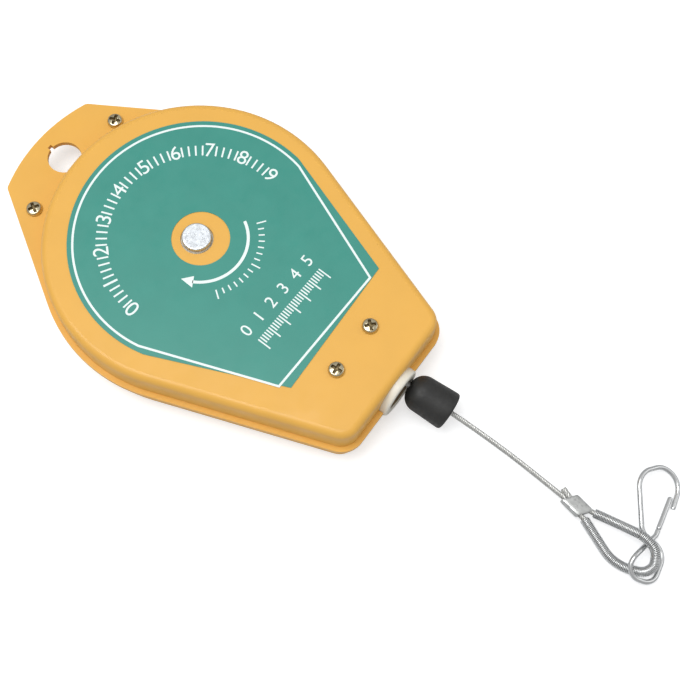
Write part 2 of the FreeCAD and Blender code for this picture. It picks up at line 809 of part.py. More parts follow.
def arbor_shaft():
    """Shaft that carries the drum, holds the mainspring's inner end and is wound up."""
    stud_top = front_face + size.stud_proud
    body, turned = turned_body("arbor_shaft", [
        (0, size.arbor_end),
        (size.journal_radius, size.arbor_end),
        (size.journal_radius, clip_bottom),
        (size.groove_radius, clip_bottom),
        (size.groove_radius, clip_bottom + size.clip_width),
        (size.journal_radius, clip_bottom + size.clip_width),
        (size.journal_radius, core_bottom),
        (size.core_radius, core_bottom),
        (size.core_radius, core_top),
        (size.journal_radius, core_top),
        (size.journal_radius, journal_top),
        (size.stud_radius, journal_top),
        (size.stud_radius, stud_top),
        (0, stud_top),
    ])
    fillet(body, "stud_edge", turned, at_height(stud_top), size.stud_round)
    doc.recompute()
    flats = new_sketch(body, "drive_flats", height=size.dish_depth)
    for side in (1, -1):
        add_polygon(flats, [
            (-(size.journal_radius * 1.5), size.flat_half * side),
            (size.journal_radius * 1.5, size.flat_half * side),
            (size.journal_radius * 1.5, size.journal_radius * 1.5 * side),
            (-(size.journal_radius * 1.5), size.journal_radius * 1.5 * side),
        ])
    pocket(body, "drive_flats_cut", flats, size.dish_depth - size.arbor_end)
    socket = new_sketch(body, "key_socket", height=size.arbor_end)
    add_hexagon(socket, 0, 0, size.socket_flats)
    pocket(body, "key_socket_cut", socket, size.socket_depth, upward=True)
    slot = new_sketch(body, "spring_slot", height=core_top)
    half = size.spring_thickness / 2 + size.rope_gap
    add_polygon(slot, [
        (size.groove_radius, -half),
        (size.core_radius * 1.5, -half),
        (size.core_radius * 1.5, half),
        (size.groove_radius, half),
    ])
    pocket(body, "spring_slot_cut", slot, core_top - core_bottom)
    return body


def ratchet_wheel():
    """Saw-toothed wheel keyed to the arbor's two flats."""
    body = new_body("ratchet_wheel", at_shaft=True)
    blank = new_sketch(body, "ratchet_blank_outline", height=ratchet_bottom)
    add_circle(blank, 0, 0, size.ratchet_radius)
    pad(body, "ratchet_blank", blank, size.ratchet_width)
    doc.recompute()
    gash = new_sketch(body, "ratchet_gash", height=ratchet_bottom)
    beyond = size.ratchet_radius * 1.05
    back = math.radians(float(size.tooth_back_angle))
    add_polygon(gash, [
        (size.ratchet_root, 0),
        (beyond, 0),
        (beyond * math.cos(back), beyond * math.sin(back)),
    ])
    cut_one = pocket(body, "ratchet_gash_cut", gash, size.ratchet_width, upward=True)
    teeth = body.newObject("PartDesign::PolarPattern", "ratchet_teeth_pattern")
    teeth.Originals = [cut_one]
    teeth.Axis = (gash, ["N_Axis"])
    teeth.Angle = 360.0
    teeth.setExpression("Occurrences", size.ratchet_teeth.text)
    body.Tip = teeth
    doc.recompute()
    bore = new_sketch(body, "ratchet_bore", height=ratchet_bottom)
    double_flat_outline(bore)
    pocket(body, "ratchet_bore_cut", bore, size.ratchet_width, upward=True)
    return body


def double_flat_outline(sketch):
    """A round bore with two flats, a running gap larger than the arbor's."""
    radius = size.journal_radius + size.running_gap
    flat = size.flat_half + size.running_gap
    bite = math.degrees(math.asin(float(flat) / float(radius)))
    origin = (0.0, 0.0)
    pieces = [
        arc_piece(origin, float(radius), -bite, bite),
        line_piece(on_circle(origin, float(radius), bite),
                   on_circle(origin, float(radius), 180.0 - bite)),
        arc_piece(origin, float(radius), 180.0 - bite, 180.0 + bite),
        line_piece(on_circle(origin, float(radius), 180.0 + bite),
                   on_circle(origin, float(radius), -bite)),
    ]
    indexes = [sketch.addGeometry(piece, False) for piece in pieces]
    for index, piece in enumerate(indexes):
        following = indexes[(index + 1) % len(indexes)]
        sketch.addConstraint(Sketcher.Constraint("Coincident", piece, 2, following, 1))
    right_arc, top, left_arc, bottom = indexes
    for arc in (right_arc, left_arc):
        pin_point(sketch, arc, 3, 0, 0)
        bind(sketch, "Radius", arc, radius)
    for line in (top, bottom):
        sketch.addConstraint(Sketcher.Constraint("Horizontal", line))
    bind(sketch, "DistanceY", top, 1, flat)
    bind(sketch, "DistanceY", bottom, 1, -flat)


def retaining_clip():
    """Open ring that snaps into the arbor's groove behind the ratchet."""
    body = new_body("retaining_clip", at_shaft=True)
    ring = new_sketch(body, "clip_ring", height=clip_bottom)
    add_circle(ring, 0, 0, size.clip_outer_radius)
    add_circle(ring, 0, 0, size.groove_radius + size.running_gap)
    pad(body, "clip_blank", ring, size.clip_width)
    doc.recompute()
    mouth = new_sketch(body, "clip_mouth_outline", height=clip_bottom)
    half = size.clip_mouth / 2
    add_polygon(mouth, [
        (-half, 0),
        (-half, -(size.clip_outer_radius * 1.5)),
        (half, -(size.clip_outer_radius * 1.5)),
        (half, 0),
    ])
    pocket(body, "clip_mouth_cut", mouth, size.clip_width, upward=True)
    return body


# The leaf pawl lies along the back of the tooth that stands at the top of the wheel.
pawl_rivet_places = (10.5, 15.5)
tooth_back = math.radians(90.0 + float(size.tooth_back_angle))
tooth_tip_reach = float(size.ratchet_radius) * 1.05
pawl_run = Vector(tooth_tip_reach * math.cos(tooth_back),
                  tooth_tip_reach * math.sin(tooth_back) - float(size.ratchet_root), 0)
pawl_run.normalize()
pawl_out = Vector(pawl_run.y, -pawl_run.x, 0)
pawl_start = Vector(0, float(size.ratchet_root), 0) + pawl_run * 0.8 + pawl_out * 0.15


def pawl_point(along, out):
    """A place on the leaf, measured along it from the tip and outwards from its face."""
    spot = pawl_start + pawl_run * float(along) + pawl_out * float(out)
    return spot.x, spot.y


def pawl_leaf():
    """Leaf spring on edge whose tip drops behind each ratchet tooth."""
    body = new_body("pawl_leaf", at_shaft=True)
    leaf = new_sketch(body, "leaf_outline", height=size.dish_depth)
    add_polygon(leaf, [pawl_point(0, 0), pawl_point(size.pawl_length, 0),
                       pawl_point(size.pawl_length, size.pawl_thickness),
                       pawl_point(0, size.pawl_thickness)])
    pad(body, "leaf", leaf, size.dish_depth - ratchet_bottom, downward=True)
    foot = new_sketch(body, "leaf_foot_outline", height=size.dish_depth)
    add_polygon(foot, [pawl_point(size.pawl_foot_start, 0),
                       pawl_point(size.pawl_length, 0),
                       pawl_point(size.pawl_length, size.pawl_foot_width),
                       pawl_point(size.pawl_foot_start, size.pawl_foot_width)])
    pad(body, "leaf_foot", foot, size.pawl_thickness, downward=True)
    doc.recompute()
    holes = new_sketch(body, "leaf_rivet_holes", height=size.dish_depth)
    for along in pawl_rivet_places:
        x, y = pawl_point(along, size.pawl_foot_width / 2 + size.pawl_thickness / 2)
        add_circle(holes, x, y, size.rivet_radius + size.running_gap)
    pocket(body, "leaf_rivet_cut", holes, size.pawl_thickness)
    return body


def pawl_rivets():
    """Two rivets from the leaf's foot through the dish."""
    rivets = []
    for number, along in enumerate(pawl_rivet_places, start=1):
        x, y = pawl_point(along, size.pawl_foot_width / 2 + size.pawl_thickness / 2)
        y = shaft_y + y
        foot_face = size.dish_depth - size.pawl_thickness
        name = f"pawl_rivet_{number}"
        shank = cylinder(f"{name}_shank", size.rivet_radius,
                         size.pawl_thickness + size.sheet, x, y, foot_face)
        head = cylinder(f"{name}_head", size.rivet_head_radius, size.rivet_head_height,
                        x, y, foot_face - size.rivet_head_height)
        rivets.append(fuse(name, [shank, head]))
    return group("pawl_rivets", rivets)


# ---- drum and mainspring ---------------------------------------------------------------

def drum_hub_parts():
    """Bushes, washer and spacer that stack up along the shaft."""
    bore = size.journal_radius + size.running_gap
    seat = size.bush_sleeve_radius
    rear_washer = turned_body("rear_thrust_washer", [
        (bore + size.running_gap, dish_inside),
        (size.washer_radius, dish_inside),
        (size.washer_radius, washer_top),
        (bore + size.running_gap, washer_top),
    ])[0]
    rear_bush = turned_body("drum_bush_rear", [
        (bore, bush_rear_bottom),
        (size.washer_radius, bush_rear_bottom),
        (size.washer_radius, drum_bottom),
        (seat, drum_bottom),
        (seat, boss_top),
        (bore, boss_top),
    ])[0]
    front_bush = turned_body("drum_bush_front", [
        (bore, cover_boss_bottom),
        (seat, cover_boss_bottom),
        (seat, cover_top),
        (size.washer_radius, cover_top),
        (size.washer_radius, bush_front_top),
        (bore, bush_front_top),
    ])[0]
    spacer = turned_body("front_spacer", [
        (size.stud_radius + size.running_gap, spacer_bottom),
        (size.washer_radius, spacer_bottom),
        (size.washer_radius, spacer_top),
        (size.stud_radius + size.running_gap, spacer_top),
    ])[0]
    return [rear_washer, rear_bush, front_bush, spacer]


def drum_screw_places():
    """Evenly spaced places in the middle of the drum's wall."""
    ring = (size.drum_groove_radius + size.drum_cavity_radius) / 2
    count = int(float(size.drum_screws))
    places = []
    for number in range(count):
        turn = 2 * math.pi * number / count
        places.append((ring * math.cos(turn), ring * math.sin(turn)))
    return places


def rope_drum():
    """Cup that holds the mainspring, with the rope's lane round its wall."""
    seat = size.bush_sleeve_radius + size.running_gap
    body = turned_body("rope_drum", [
        (seat, drum_bottom),
        (size.drum_radius, drum_bottom),
        (size.drum_radius, drum_bottom + size.drum_flange),
        (size.drum_groove_radius, drum_bottom + size.drum_flange),
        (size.drum_groove_radius, drum_top),
        (size.drum_cavity_radius, drum_top),
        (size.drum_cavity_radius, drum_floor),
        (size.drum_boss_radius, drum_floor),
        (size.drum_boss_radius, boss_top),
        (seat, boss_top),
    ])[0]
    doc.recompute()
    holes = new_sketch(body, "drum_screw_holes", height=drum_top)
    for x, y in drum_screw_places():
        add_circle(holes, x, y, size.drum_screw_radius + size.thread_clearance)
    pocket(body, "drum_screw_cut", holes, size.drum_screw_length)
    nest = new_sketch(body, "rope_anchor_hole", height=drum_bottom)
    add_circle(nest, -anchor_ring, 0, size.rope_radius + size.rope_gap * 2)
    pocket(body, "rope_anchor_cut", nest, size.drum_flange, upward=True)
    return body


anchor_ring = (size.drum_radius + size.drum_groove_radius) / 2


def drum_cover():
    """Lid that closes the drum over the mainspring and guides the rope in front."""
    seat = size.bush_sleeve_radius + size.running_gap
    body = turned_body("drum_cover", [
        (seat, cover_boss_bottom),
        (size.drum_boss_radius, cover_boss_bottom),
        (size.drum_boss_radius, drum_top),
        (size.drum_radius, drum_top),
        (size.drum_radius, cover_top),
        (seat, cover_top),
    ])[0]
    doc.recompute()
    holes = new_sketch(body, "cover_screw_holes", height=cover_top)
    for x, y in drum_screw_places():
        add_circle(holes, x, y, size.drum_screw_radius + size.thread_clearance * 2)
    pocket(body, "cover_screw_cut", holes, size.drum_flange)
    return body


def drum_cover_screws():
    screws = []
    length = size.drum_screw_length + size.drum_flange - size.end_gap
    for number, (x, y) in enumerate(drum_screw_places(), start=1):
        screws.append(pan_screw(f"drum_screw_{number}", size.drum_screw_radius,
                                size.drum_screw_head_radius, size.drum_screw_head_height,
                                length, x, shaft_y + y, cover_top))
    return group("drum_cover_screws", screws)


def mainspring():
    """Spiral strip of half turns, from the arbor's slot out to the drum's wall."""
    strip = float(size.spring_thickness)
    start = float(size.core_radius + size.spring_gap)
    end = float(size.drum_cavity_radius - size.spring_gap) - strip
    half_turns = int(round(2 * float(size.spring_coils)))
    growth = (end - start) / half_turns
    middle = Vector(0, float(shaft_y), 0)

    def spiral(first_radius):
        """Half circles whose centres hop from side to side of the axis."""
        edges = []
        for number in range(half_turns):
            side = 1 if number % 2 == 0 else -1
            centre = middle + Vector(side * -growth / 2, 0, 0)
            radius = first_radius + growth / 2 + growth * number
            begin = centre + Vector(side * radius, 0, 0)
            top = centre + Vector(0, side * radius, 0)
            finish = centre - Vector(side * radius, 0, 0)
            edges.append(Part.Arc(begin, top, finish).toShape())
        return edges

    inner = spiral(start)
    outer = spiral(start + strip)
    outer_start = outer[0].Vertexes[0].Point
    inner_end = inner[-1].Vertexes[-1].Point
    outer_end = outer[-1].Vertexes[-1].Point
    inner_start = inner[0].Vertexes[0].Point
    close_end = Part.LineSegment(inner_end, outer_end).toShape()
    close_start = Part.LineSegment(inner_start, outer_start).toShape()
    outline = Part.Wire(Part.__sortEdges__(inner + outer + [close_end, close_start]))
    width = float(core_top - core_bottom)
    coil = Part.Face(outline).extrude(Vector(0, 0, width))
    coil.translate(Vector(0, 0, float(core_bottom)))
    tang_reach = float(size.core_radius - size.groove_radius - size.rope_gap)
    tang = Part.makeBox(tang_reach + float(size.spring_gap) + strip, strip, width,
                        Vector(inner_start.x - tang_reach - float(size.spring_gap),
                               inner_start.y - strip / 2, float(core_bottom)))
    return shape_part("mainspring", coil.fuse(tang).removeSplitter())


# ---- rope ----------------------------------------------------------------------------

def rope_on_drum():
    """The stored turns, side by side in the drum's lane."""
    turns = []
    pitch = size.rope_radius * 2 + size.rope_gap
    for number in range(int(float(size.rope_turns))):
        ring = doc.addObject("Part::Torus", f"rope_turn_{number + 1}")
        ring.setExpression("Radius1", rope_radius_on_drum.text)
        ring.setExpression("Radius2", size.rope_radius.text)
        place(ring, 0, shaft_y, mid_plane + pitch * (number - 1))
        turns.append(ring)
    return group("rope_on_drum", turns)


def rope_anchor():
    """Crimped end of the rope in its hole in the drum's flange."""
    post = cylinder("rope_anchor_crimp", size.rope_radius + size.rope_gap,
                    size.drum_flange, -anchor_ring, shaft_y, drum_bottom)
    return group("rope_anchor", [post])


def bent_path(points, radii):
    """Straight runs joined by tangent arcs, one radius for each inner point."""
    edges = []
    last = points[0]
    for index in range(1, len(points) - 1):
        before = (points[index - 1] - points[index]).normalize()
        after = (points[index + 1] - points[index]).normalize()
        turn = math.pi - before.getAngle(after)
        reach = radii[index - 1] * math.tan(turn / 2)
        entry = points[index] + before * reach
        leave = points[index] + after * reach
        inward = (before + after).normalize()
        middle = points[index] + inward * (radii[index - 1] / math.cos(turn / 2)
                                           - radii[index - 1])
        edges.append(Part.LineSegment(last, entry).toShape())
        edges.append(Part.Arc(entry, middle, leave).toShape())
        last = leave
    edges.append(Part.LineSegment(last, points[-1]).toShape())
    return Part.Wire(edges)


def cord_radii(points):
    """The largest arc that each corner's two runs allow."""
    radii = []
    for index in range(1, len(points) - 1):
        before = points[index - 1] - points[index]
        after = points[index + 1] - points[index]
        turn = math.pi - before.getAngle(after)
        shorter = min(before.Length, after.Length)
        radii.append(0.45 * shorter / math.tan(turn / 2))
    return radii


def round_bar(name, path, radius):
    """Sweep a circle along a path and check the volume against section times length."""
    start = path.Edges[0]
    direction = start.tangentAt(start.FirstParameter)
    origin = start.valueAt(start.FirstParameter)
    ring = Part.Wire(Part.makeCircle(radius, origin, direction))
    bar = path.makePipeShell([ring], True, False)
    expected = math.pi * radius ** 2 * path.Length
    if abs(bar.Volume / expected - 1) > 0.01:
        raise RuntimeError(f"{name} has the wrong volume")
    return bar


def limp_bar(name, points, radius):
    """A bar along a rope's route; prints the bend radii of the route."""
    radii = cord_radii(points)
    print(name, "bend radii", [round(bend, 1) for bend in radii])
    return round_bar(name, bent_path(points, radii), radius)


def rope_inner_run():
    """The rope's straight run from the drum to the guide bush, and its turn there."""
    exit_z = float(mid_plane)
    lane = float(rope_radius_on_drum)
    axis = Vector(0, float(shaft_y), exit_z)
    corner = Vector(float(rope_x), float(wall_bottom + size.guide_collar_width * 3), exit_z)
    to_axis = axis - corner
    reach = math.sqrt(to_axis.Length ** 2 - lane ** 2)
    spread = math.degrees(math.asin(lane / to_axis.Length))
    toward = Rotation(Vector(0, 0, 1), spread).multVec(to_axis.normalize())
    clear = lane + 2 * float(size.rope_radius) + float(size.spring_gap)
    lift_off = math.sqrt(clear ** 2 - lane ** 2)
    start = corner + toward * (reach - lift_off)
    end = Vector(float(rope_x), rope_start_y, exit_z)
    bend = float(size.rope_radius) * 6
    bar = round_bar("rope_inner_run", bent_path([start, corner, end], [bend]),
                    float(size.rope_radius))
    return shape_part("rope_inner_run", bar)


rope_start_y = float(wall_bottom)
rope_joint_gap = float(size.guide_gap)
rope_level = float(mid_plane)
ferrule_level = 4.45
exit_x = float(rope_x)

# The free rope lies from the guide bush down to the ferrule on the ground.
rope_route = [
    Vector(exit_x, rope_start_y - rope_joint_gap, rope_level),
    Vector(5.2, -101.2, 14.7),
    Vector(6.3, -110.6, 12.95),
    Vector(7.3, -122.6, 10.95),
    Vector(7.95, -137.6, 9.0),
    Vector(8.15, -152.6, 7.0),
    Vector(7.8, -166.0, 5.3),
    Vector(7.2, -178.35, 4.35),
]

# The eye at the rope's end, from one side of the ferrule round to the other.
loop_route = [
    Vector(9.1, -191.9, 4.7),
    Vector(10.45, -202.3, 7.2),
    Vector(11.55, -213.0, 10.1),
    Vector(9.85, -220.0, 9.95),
    Vector(4.5, -223.45, 5.6),
    Vector(0.85, -221.6, 2.55),
    Vector(-2.2, -214.25, 2.5),
    Vector(-2.4, -206.95, 2.5),
    Vector(1.35, -197.8, 3.2),
    Vector(4.6, -189.9, 4.2),
]


def rope_outer():
    bar = limp_bar("rope_outer", rope_route, float(size.rope_radius))
    return shape_part("rope_outer", bar)


def stopper():
    """Rubber bullet on the rope that lands on the guide bush."""
    body = new_body("stopper")
    sketch = new_sketch(body, "stopper_section", plane="XZ_Plane")
    dome = float(size.stopper_dome_radius)
    hole = float(size.stopper_hole_radius)
    length = float(size.stopper_length)
    base = float(size.stopper_base_radius)
    edge = float(size.stopper_round)
    # the blunt dome is a quarter circle that starts at the rope's hole
    swell = dome - hole
    arc = arc_piece((hole, swell), swell, -90.0, 0.0)
    side = line_piece((dome, swell), (base, length - edge))
    chamfer = line_piece((base, length - edge), (base - edge, length))
    back = line_piece((base - edge, length), (hole, length))
    bore = line_piece((hole, length), (hole, 0.0))
    indexes = [sketch.addGeometry(piece, False) for piece in (arc, side, chamfer, back, bore)]
    for index, piece in enumerate(indexes):
        following = indexes[(index + 1) % len(indexes)]
        sketch.addConstraint(Sketcher.Constraint("Coincident", piece, 2, following, 1))
    rounding = size.stopper_dome_radius - size.stopper_hole_radius
    pin_point(sketch, indexes[0], 3, size.stopper_hole_radius, rounding)
    bind(sketch, "Radius", indexes[0], rounding)
    bind(sketch, "DistanceX", indexes[0], 1, size.stopper_hole_radius)
    bind(sketch, "DistanceY", indexes[0], 2, rounding)
    pin_point(sketch, indexes[1], 2, size.stopper_base_radius,
              size.stopper_length - size.stopper_round)
    pin_point(sketch, indexes[2], 2, size.stopper_base_radius - size.stopper_round,
              size.stopper_length)
    pin_point(sketch, indexes[3], 2, size.stopper_hole_radius, size.stopper_length)
    revolve(body, "stopper_turned", sketch)
    axis = rope_route[3] - rope_route[1]
    axis.normalize()
    tip_y = float(guide_end) - float(size.stopper_stand_off)
    start = rope_route[1] + axis * ((tip_y - rope_route[1].y) / axis.y)
    body.Placement = Placement(start, Rotation(Vector(0, 0, 1), axis))
    return body


def ferrule():
    """Folded sleeve pressed flat over the rope and its returning end."""
    body = new_body("ferrule")
    sketch = new_sketch(body, "ferrule_outline")
    skew = math.tan(math.radians(float(size.ferrule_slant)))
    half = size.ferrule_width / 2
    long = size.ferrule_length / 2
    add_polygon(sketch, [
        (-half, -long + half * skew),
        (half, -long - half * skew),
        (half, long - half * skew),
        (-half, long + half * skew),
    ])
    block = pad(body, "ferrule_block", sketch, size.ferrule_height)

    def long_edge(edge):
        return edge.Length > float(size.ferrule_length) - 0.1 and \
            abs(edge.BoundBox.XLength) < 0.01
    fillet(body, "ferrule_edges", block, long_edge, size.ferrule_height / 8)
    body.Placement = Placement(
        Vector(7.3, -184.35, ferrule_level - float(size.ferrule_height) / 2),
        Rotation(Vector(0, 0, 1), float(size.ferrule_turn)))
    return body


def rope_loop():
    bar = limp_bar("rope_loop", loop_route, float(size.rope_radius))
    return shape_part("rope_loop", bar)


def guard_spring():
    """Close-wound spring over the rope's eye, as a sleeve of its outside and bore."""
    path = bent_path(loop_route, cord_radii(loop_route))
    sleeve = round_bar("guard_spring", path, float(size.guard_radius))
    bore = round_bar("guard_bore", path, float(size.guard_bore))
    return shape_part("guard_spring", sleeve.cut(bore))


# ---- wire hook -----------------------------------------------------------------------

# Corners of the bent wire in the hook's own plane: X along it, Y across, Z its thickness.
hook_corners = [
    Vector(24.95, -8.82, -0.06),
    Vector(37.56, -11.42, 0.16),
    Vector(41.68, -1.43, -0.11),
    Vector(35.64, 10.42, 0.0),
    Vector(11.65, 4.06, -1.45),
    Vector(6.48, -8.21, -1.01),
    Vector(-8.6, -2.75, 0.55),
    Vector(-7.25, 10.35, -1.33),
    Vector(0.49, 8.67, 1.77),
    Vector(11.78, -1.3, 0.81),
    Vector(14.3, -2.08, 0.74),
]
hook_bends = [7.9, 7.9, 7.9, 6.0, 6.3, 6.3, 5.8, 4.8, 2.6]
gate_tip = Vector(29.2, -6.7, 0.3)
hook_place = Placement(Vector(5.2, -221.0, 4.2),
                       Rotation(24.8, -1.3, 0.0) * Rotation(Vector(1, 0, 0), 22.0))


def clip_hook():
    """Snap hook bent from one wire: tail, bow, long leg and eye."""
    bar = round_bar("clip_hook", bent_path(hook_corners, hook_bends),
                    float(size.hook_wire_radius))
    feature = shape_part("clip_hook", bar)
    feature.Placement = hook_place
    return feature


def clip_gate():
    """The springy leg that closes the hook, from the eye to the bow's tail."""
    root = hook_corners[-1]
    run = gate_tip - root
    length = run.Length - float(size.hook_joint_gap)
    run.normalize()
    bar = Part.makeCylinder(float(size.hook_wire_radius), length,
                            root + run * float(size.hook_joint_gap), run)
    feature = shape_part("clip_gate", bar)
    feature.Placement = hook_place
    return feature


# ---- guide bush ----------------------------------------------------------------------

def guide_bush():
    """Plastic ring that the rope leaves through, trapped by its collar in the case."""
    body = new_body("guide_bush")
    sketch = new_sketch(body, "guide_section", plane="XZ_Plane")
    inner_face = size.sheet + size.guide_seat_gap + size.guide_collar_width
    end = -size.guide_proud
    throat = size.guide_throat
    flare = size.guide_flare
    edge = size.guide_round
    points = [
        (throat + flare, inner_face),
        (size.guide_collar_radius, inner_face),
        (size.guide_collar_radius, size.sheet + size.guide_seat_gap),
        (size.guide_radius, size.sheet + size.guide_seat_gap),
        (size.guide_radius, end + edge),
        (size.guide_radius - edge, end),
        (throat + flare, end),
        (throat, end + flare),
        (throat, inner_face - flare),
    ]
    corners = [Vector(float(x), float(y), 0) for x, y in points]
    pieces = [
        Part.LineSegment(corners[0], corners[1]),
        Part.LineSegment(corners[1], corners[2]),
        Part.LineSegment(corners[2], corners[3]),
        Part.LineSegment(corners[3], corners[4]),
        arc_piece((corners[5].x, corners[4].y), float(edge), -90.0, 0.0),
        Part.LineSegment(corners[5], corners[6]),
        arc_piece((corners[6].x, corners[7].y), float(flare), 180.0, 270.0),
        Part.LineSegment(corners[7], corners[8]),
        arc_piece((corners[0].x, corners[8].y), float(flare), 90.0, 180.0),
    ]
    indexes = [sketch.addGeometry(piece, False) for piece in pieces]
    ends = [(2, 1), (2, 1), (2, 1), (2, 2), (1, 1), (2, 2), (1, 1), (2, 2), (1, 1)]
    for index, (here, there) in enumerate(ends):
        following = indexes[(index + 1) % len(indexes)]
        link = Sketcher.Constraint("Coincident", indexes[index], here, following, there)
        sketch.addConstraint(link)
    for number in (0, 1, 2, 3, 5, 7):
        pin_point(sketch, indexes[number], 1, *points[number])
    bind(sketch, "Radius", indexes[4], edge)
    bind(sketch, "Radius", indexes[6], flare)
    bind(sketch, "Radius", indexes[8], flare)
    pin_point(sketch, indexes[3], 2, *points[4])
    pin_point(sketch, indexes[5], 2, *points[6])
    pin_point(sketch, indexes[7], 2, *points[8])
    revolve(body, "guide_turned", sketch)
    body.Placement = Placement(Vector(0, float(wall_bottom), float(mid_plane)),
                               Rotation(Vector(1, 0, 0), -90.0))
    body.setExpression("Placement.Base.y", wall_bottom.text)
    body.setExpression("Placement.Base.z", mid_plane.text)
    return body


# ---- build, check and write ------------------------------------------------------------

parts = [front_shell(), rear_shell(), label_plate()]
parts += case_fasteners()
parts += [arbor_shaft(), ratchet_wheel(), retaining_clip(), pawl_leaf(), pawl_rivets()]
parts += drum_hub_parts()
parts += [rope_drum(), drum_cover(), drum_cover_screws(), mainspring()]
parts += [rope_on_drum(), rope_anchor(), rope_inner_run(), rope_outer()]
parts += [guide_bush(), stopper(), ferrule(), rope_loop(), guard_spring()]
parts += [clip_hook(), clip_gate()]
doc.recompute()

for item in doc.Objects:
    if "Invalid" in item.State or "Error" in item.State:
        raise RuntimeError(f"{item.Name} failed: {item.State}")
for piece in parts:
    if piece.Shape.isNull() or not piece.Shape.isValid():
        raise RuntimeError(f"{piece.Label} has no valid shape")

os.makedirs("parts", exist_ok=True)
for piece in parts:
    piece.Shape.exportStep(f"parts/{piece.Label}.step")
print(len(parts), "sub-parts written")
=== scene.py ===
"""Looks of the spring tool balancer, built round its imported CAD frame.

Lengths are in millimetres in the part's own frame. add_piece makes them metres.
"""
import json
import math
import bpy
import bmesh
from mathutils import Matrix, Vector


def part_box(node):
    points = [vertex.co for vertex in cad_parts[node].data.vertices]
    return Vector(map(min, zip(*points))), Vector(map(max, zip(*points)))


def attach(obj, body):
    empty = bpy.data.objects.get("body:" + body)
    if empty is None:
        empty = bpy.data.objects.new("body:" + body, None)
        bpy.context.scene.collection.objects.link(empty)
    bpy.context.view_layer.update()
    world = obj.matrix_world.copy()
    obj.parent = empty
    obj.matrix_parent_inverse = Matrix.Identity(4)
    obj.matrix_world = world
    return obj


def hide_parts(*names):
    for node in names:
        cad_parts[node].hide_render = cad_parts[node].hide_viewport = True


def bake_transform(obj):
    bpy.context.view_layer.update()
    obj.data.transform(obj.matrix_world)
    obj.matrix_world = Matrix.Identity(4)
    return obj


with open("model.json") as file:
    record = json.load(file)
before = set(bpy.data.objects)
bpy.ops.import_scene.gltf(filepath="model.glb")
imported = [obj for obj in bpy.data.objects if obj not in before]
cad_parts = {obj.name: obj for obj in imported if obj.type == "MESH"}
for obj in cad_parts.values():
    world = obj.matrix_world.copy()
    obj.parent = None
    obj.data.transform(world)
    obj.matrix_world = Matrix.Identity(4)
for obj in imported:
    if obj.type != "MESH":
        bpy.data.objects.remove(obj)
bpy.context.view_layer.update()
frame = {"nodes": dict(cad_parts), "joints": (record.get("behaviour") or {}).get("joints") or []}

MM = 0.001
NODES = frame["nodes"]
PLACES = {joint["name"]: Vector(joint["pos_m"]) / MM for joint in frame["joints"]}


def node_box(node):
    """Lowest and highest corner of a CAD node, in millimetres."""
    low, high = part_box(node)
    return low / MM, high / MM


SHAFT_Y = PLACES["drum_spin"].y
MID = PLACES["drum_spin"].z

# ---- camera ------------------------------------------------------------------------

CAMERA_RIGHT = Vector((0.58946, -0.80710, 0.03351)).normalized()
CAMERA_BACK = Vector((-0.28809, -0.17128, 0.94216)).normalized()
CAMERA_PLACE = Vector((-138.6, -149.2, 482.0))
FOCAL_LENGTH = 61.88
SENSOR_WIDTH = 36.0


def add_camera():
    """The scene's camera, looking down at the case from above its left side."""
    lens = bpy.data.cameras.new("camera")
    lens.lens = FOCAL_LENGTH
    lens.sensor_width = SENSOR_WIDTH
    lens.clip_start = 0.01
    camera = bpy.data.objects.new("camera", lens)
    bpy.context.scene.collection.objects.link(camera)
    up = CAMERA_BACK.cross(CAMERA_RIGHT).normalized()
    back = CAMERA_RIGHT.cross(up)
    turned = Matrix((CAMERA_RIGHT, up, back)).transposed().to_4x4()
    camera.matrix_world = Matrix.Translation(CAMERA_PLACE * MM) @ turned
    bpy.context.scene.camera = camera


add_camera()

# ---- paths -------------------------------------------------------------------------


def bent_path(points, radii=None, step=0.4):
    """Sample straight runs joined by tangent arcs; radii default to the largest that fit."""
    points = [Vector(point) for point in points]
    samples = []

    def run_to(start, end):
        count = max(1, int(round((end - start).length / step)))
        for index in range(count):
            samples.append(start.lerp(end, index / count))
    last = points[0]
    for index in range(1, len(points) - 1):
        corner = points[index]
        before = points[index - 1] - corner
        after = points[index + 1] - corner
        shorter = min(before.length, after.length)
        before.normalize()
        after.normalize()
        turn = math.pi - before.angle(after)
        if radii is None:
            radius = 0.45 * shorter / math.tan(turn / 2)
        else:
            radius = radii[index - 1]
        reach = radius * math.tan(turn / 2)
        entry = corner + before * reach
        leave = corner + after * reach
        run_to(last, entry)
        centre = corner + (before + after).normalized() * (radius / math.cos(turn / 2))
        spoke = entry - centre
        axis = spoke.cross(leave - centre).normalized()
        count = max(3, int(round(radius * turn / step)))
        for part in range(count):
            samples.append(centre + Matrix.Rotation(turn * part / count, 3, axis) @ spoke)
        last = leave
    run_to(last, points[-1])
    samples.append(points[-1])
    return samples


def carried_places(samples):
    """A place at each sample, Z along the path, turned as little as possible on the way."""
    tangents = []
    for index in range(len(samples)):
        ahead = samples[min(index + 1, len(samples) - 1)]
        behind = samples[max(index - 1, 0)]
        tangents.append((ahead - behind).normalized())
    side = tangents[0].orthogonal().normalized()
    places = []
    for index, tangent in enumerate(tangents):
        if index:
            side = tangents[index - 1].rotation_difference(tangent) @ side
        side = (side - tangent * side.dot(tangent)).normalized()
        over = tangent.cross(side).normalized()
        turned = Matrix((side, over, tangent)).transposed().to_4x4()
        places.append(Matrix.Translation(samples[index]) @ turned)
    return places


def on_circle(radius, turn):
    """A point of a flat circle round the origin."""
    return Vector((radius * math.cos(turn), radius * math.sin(turn), 0.0))


# ---- meshes ------------------------------------------------------------------------


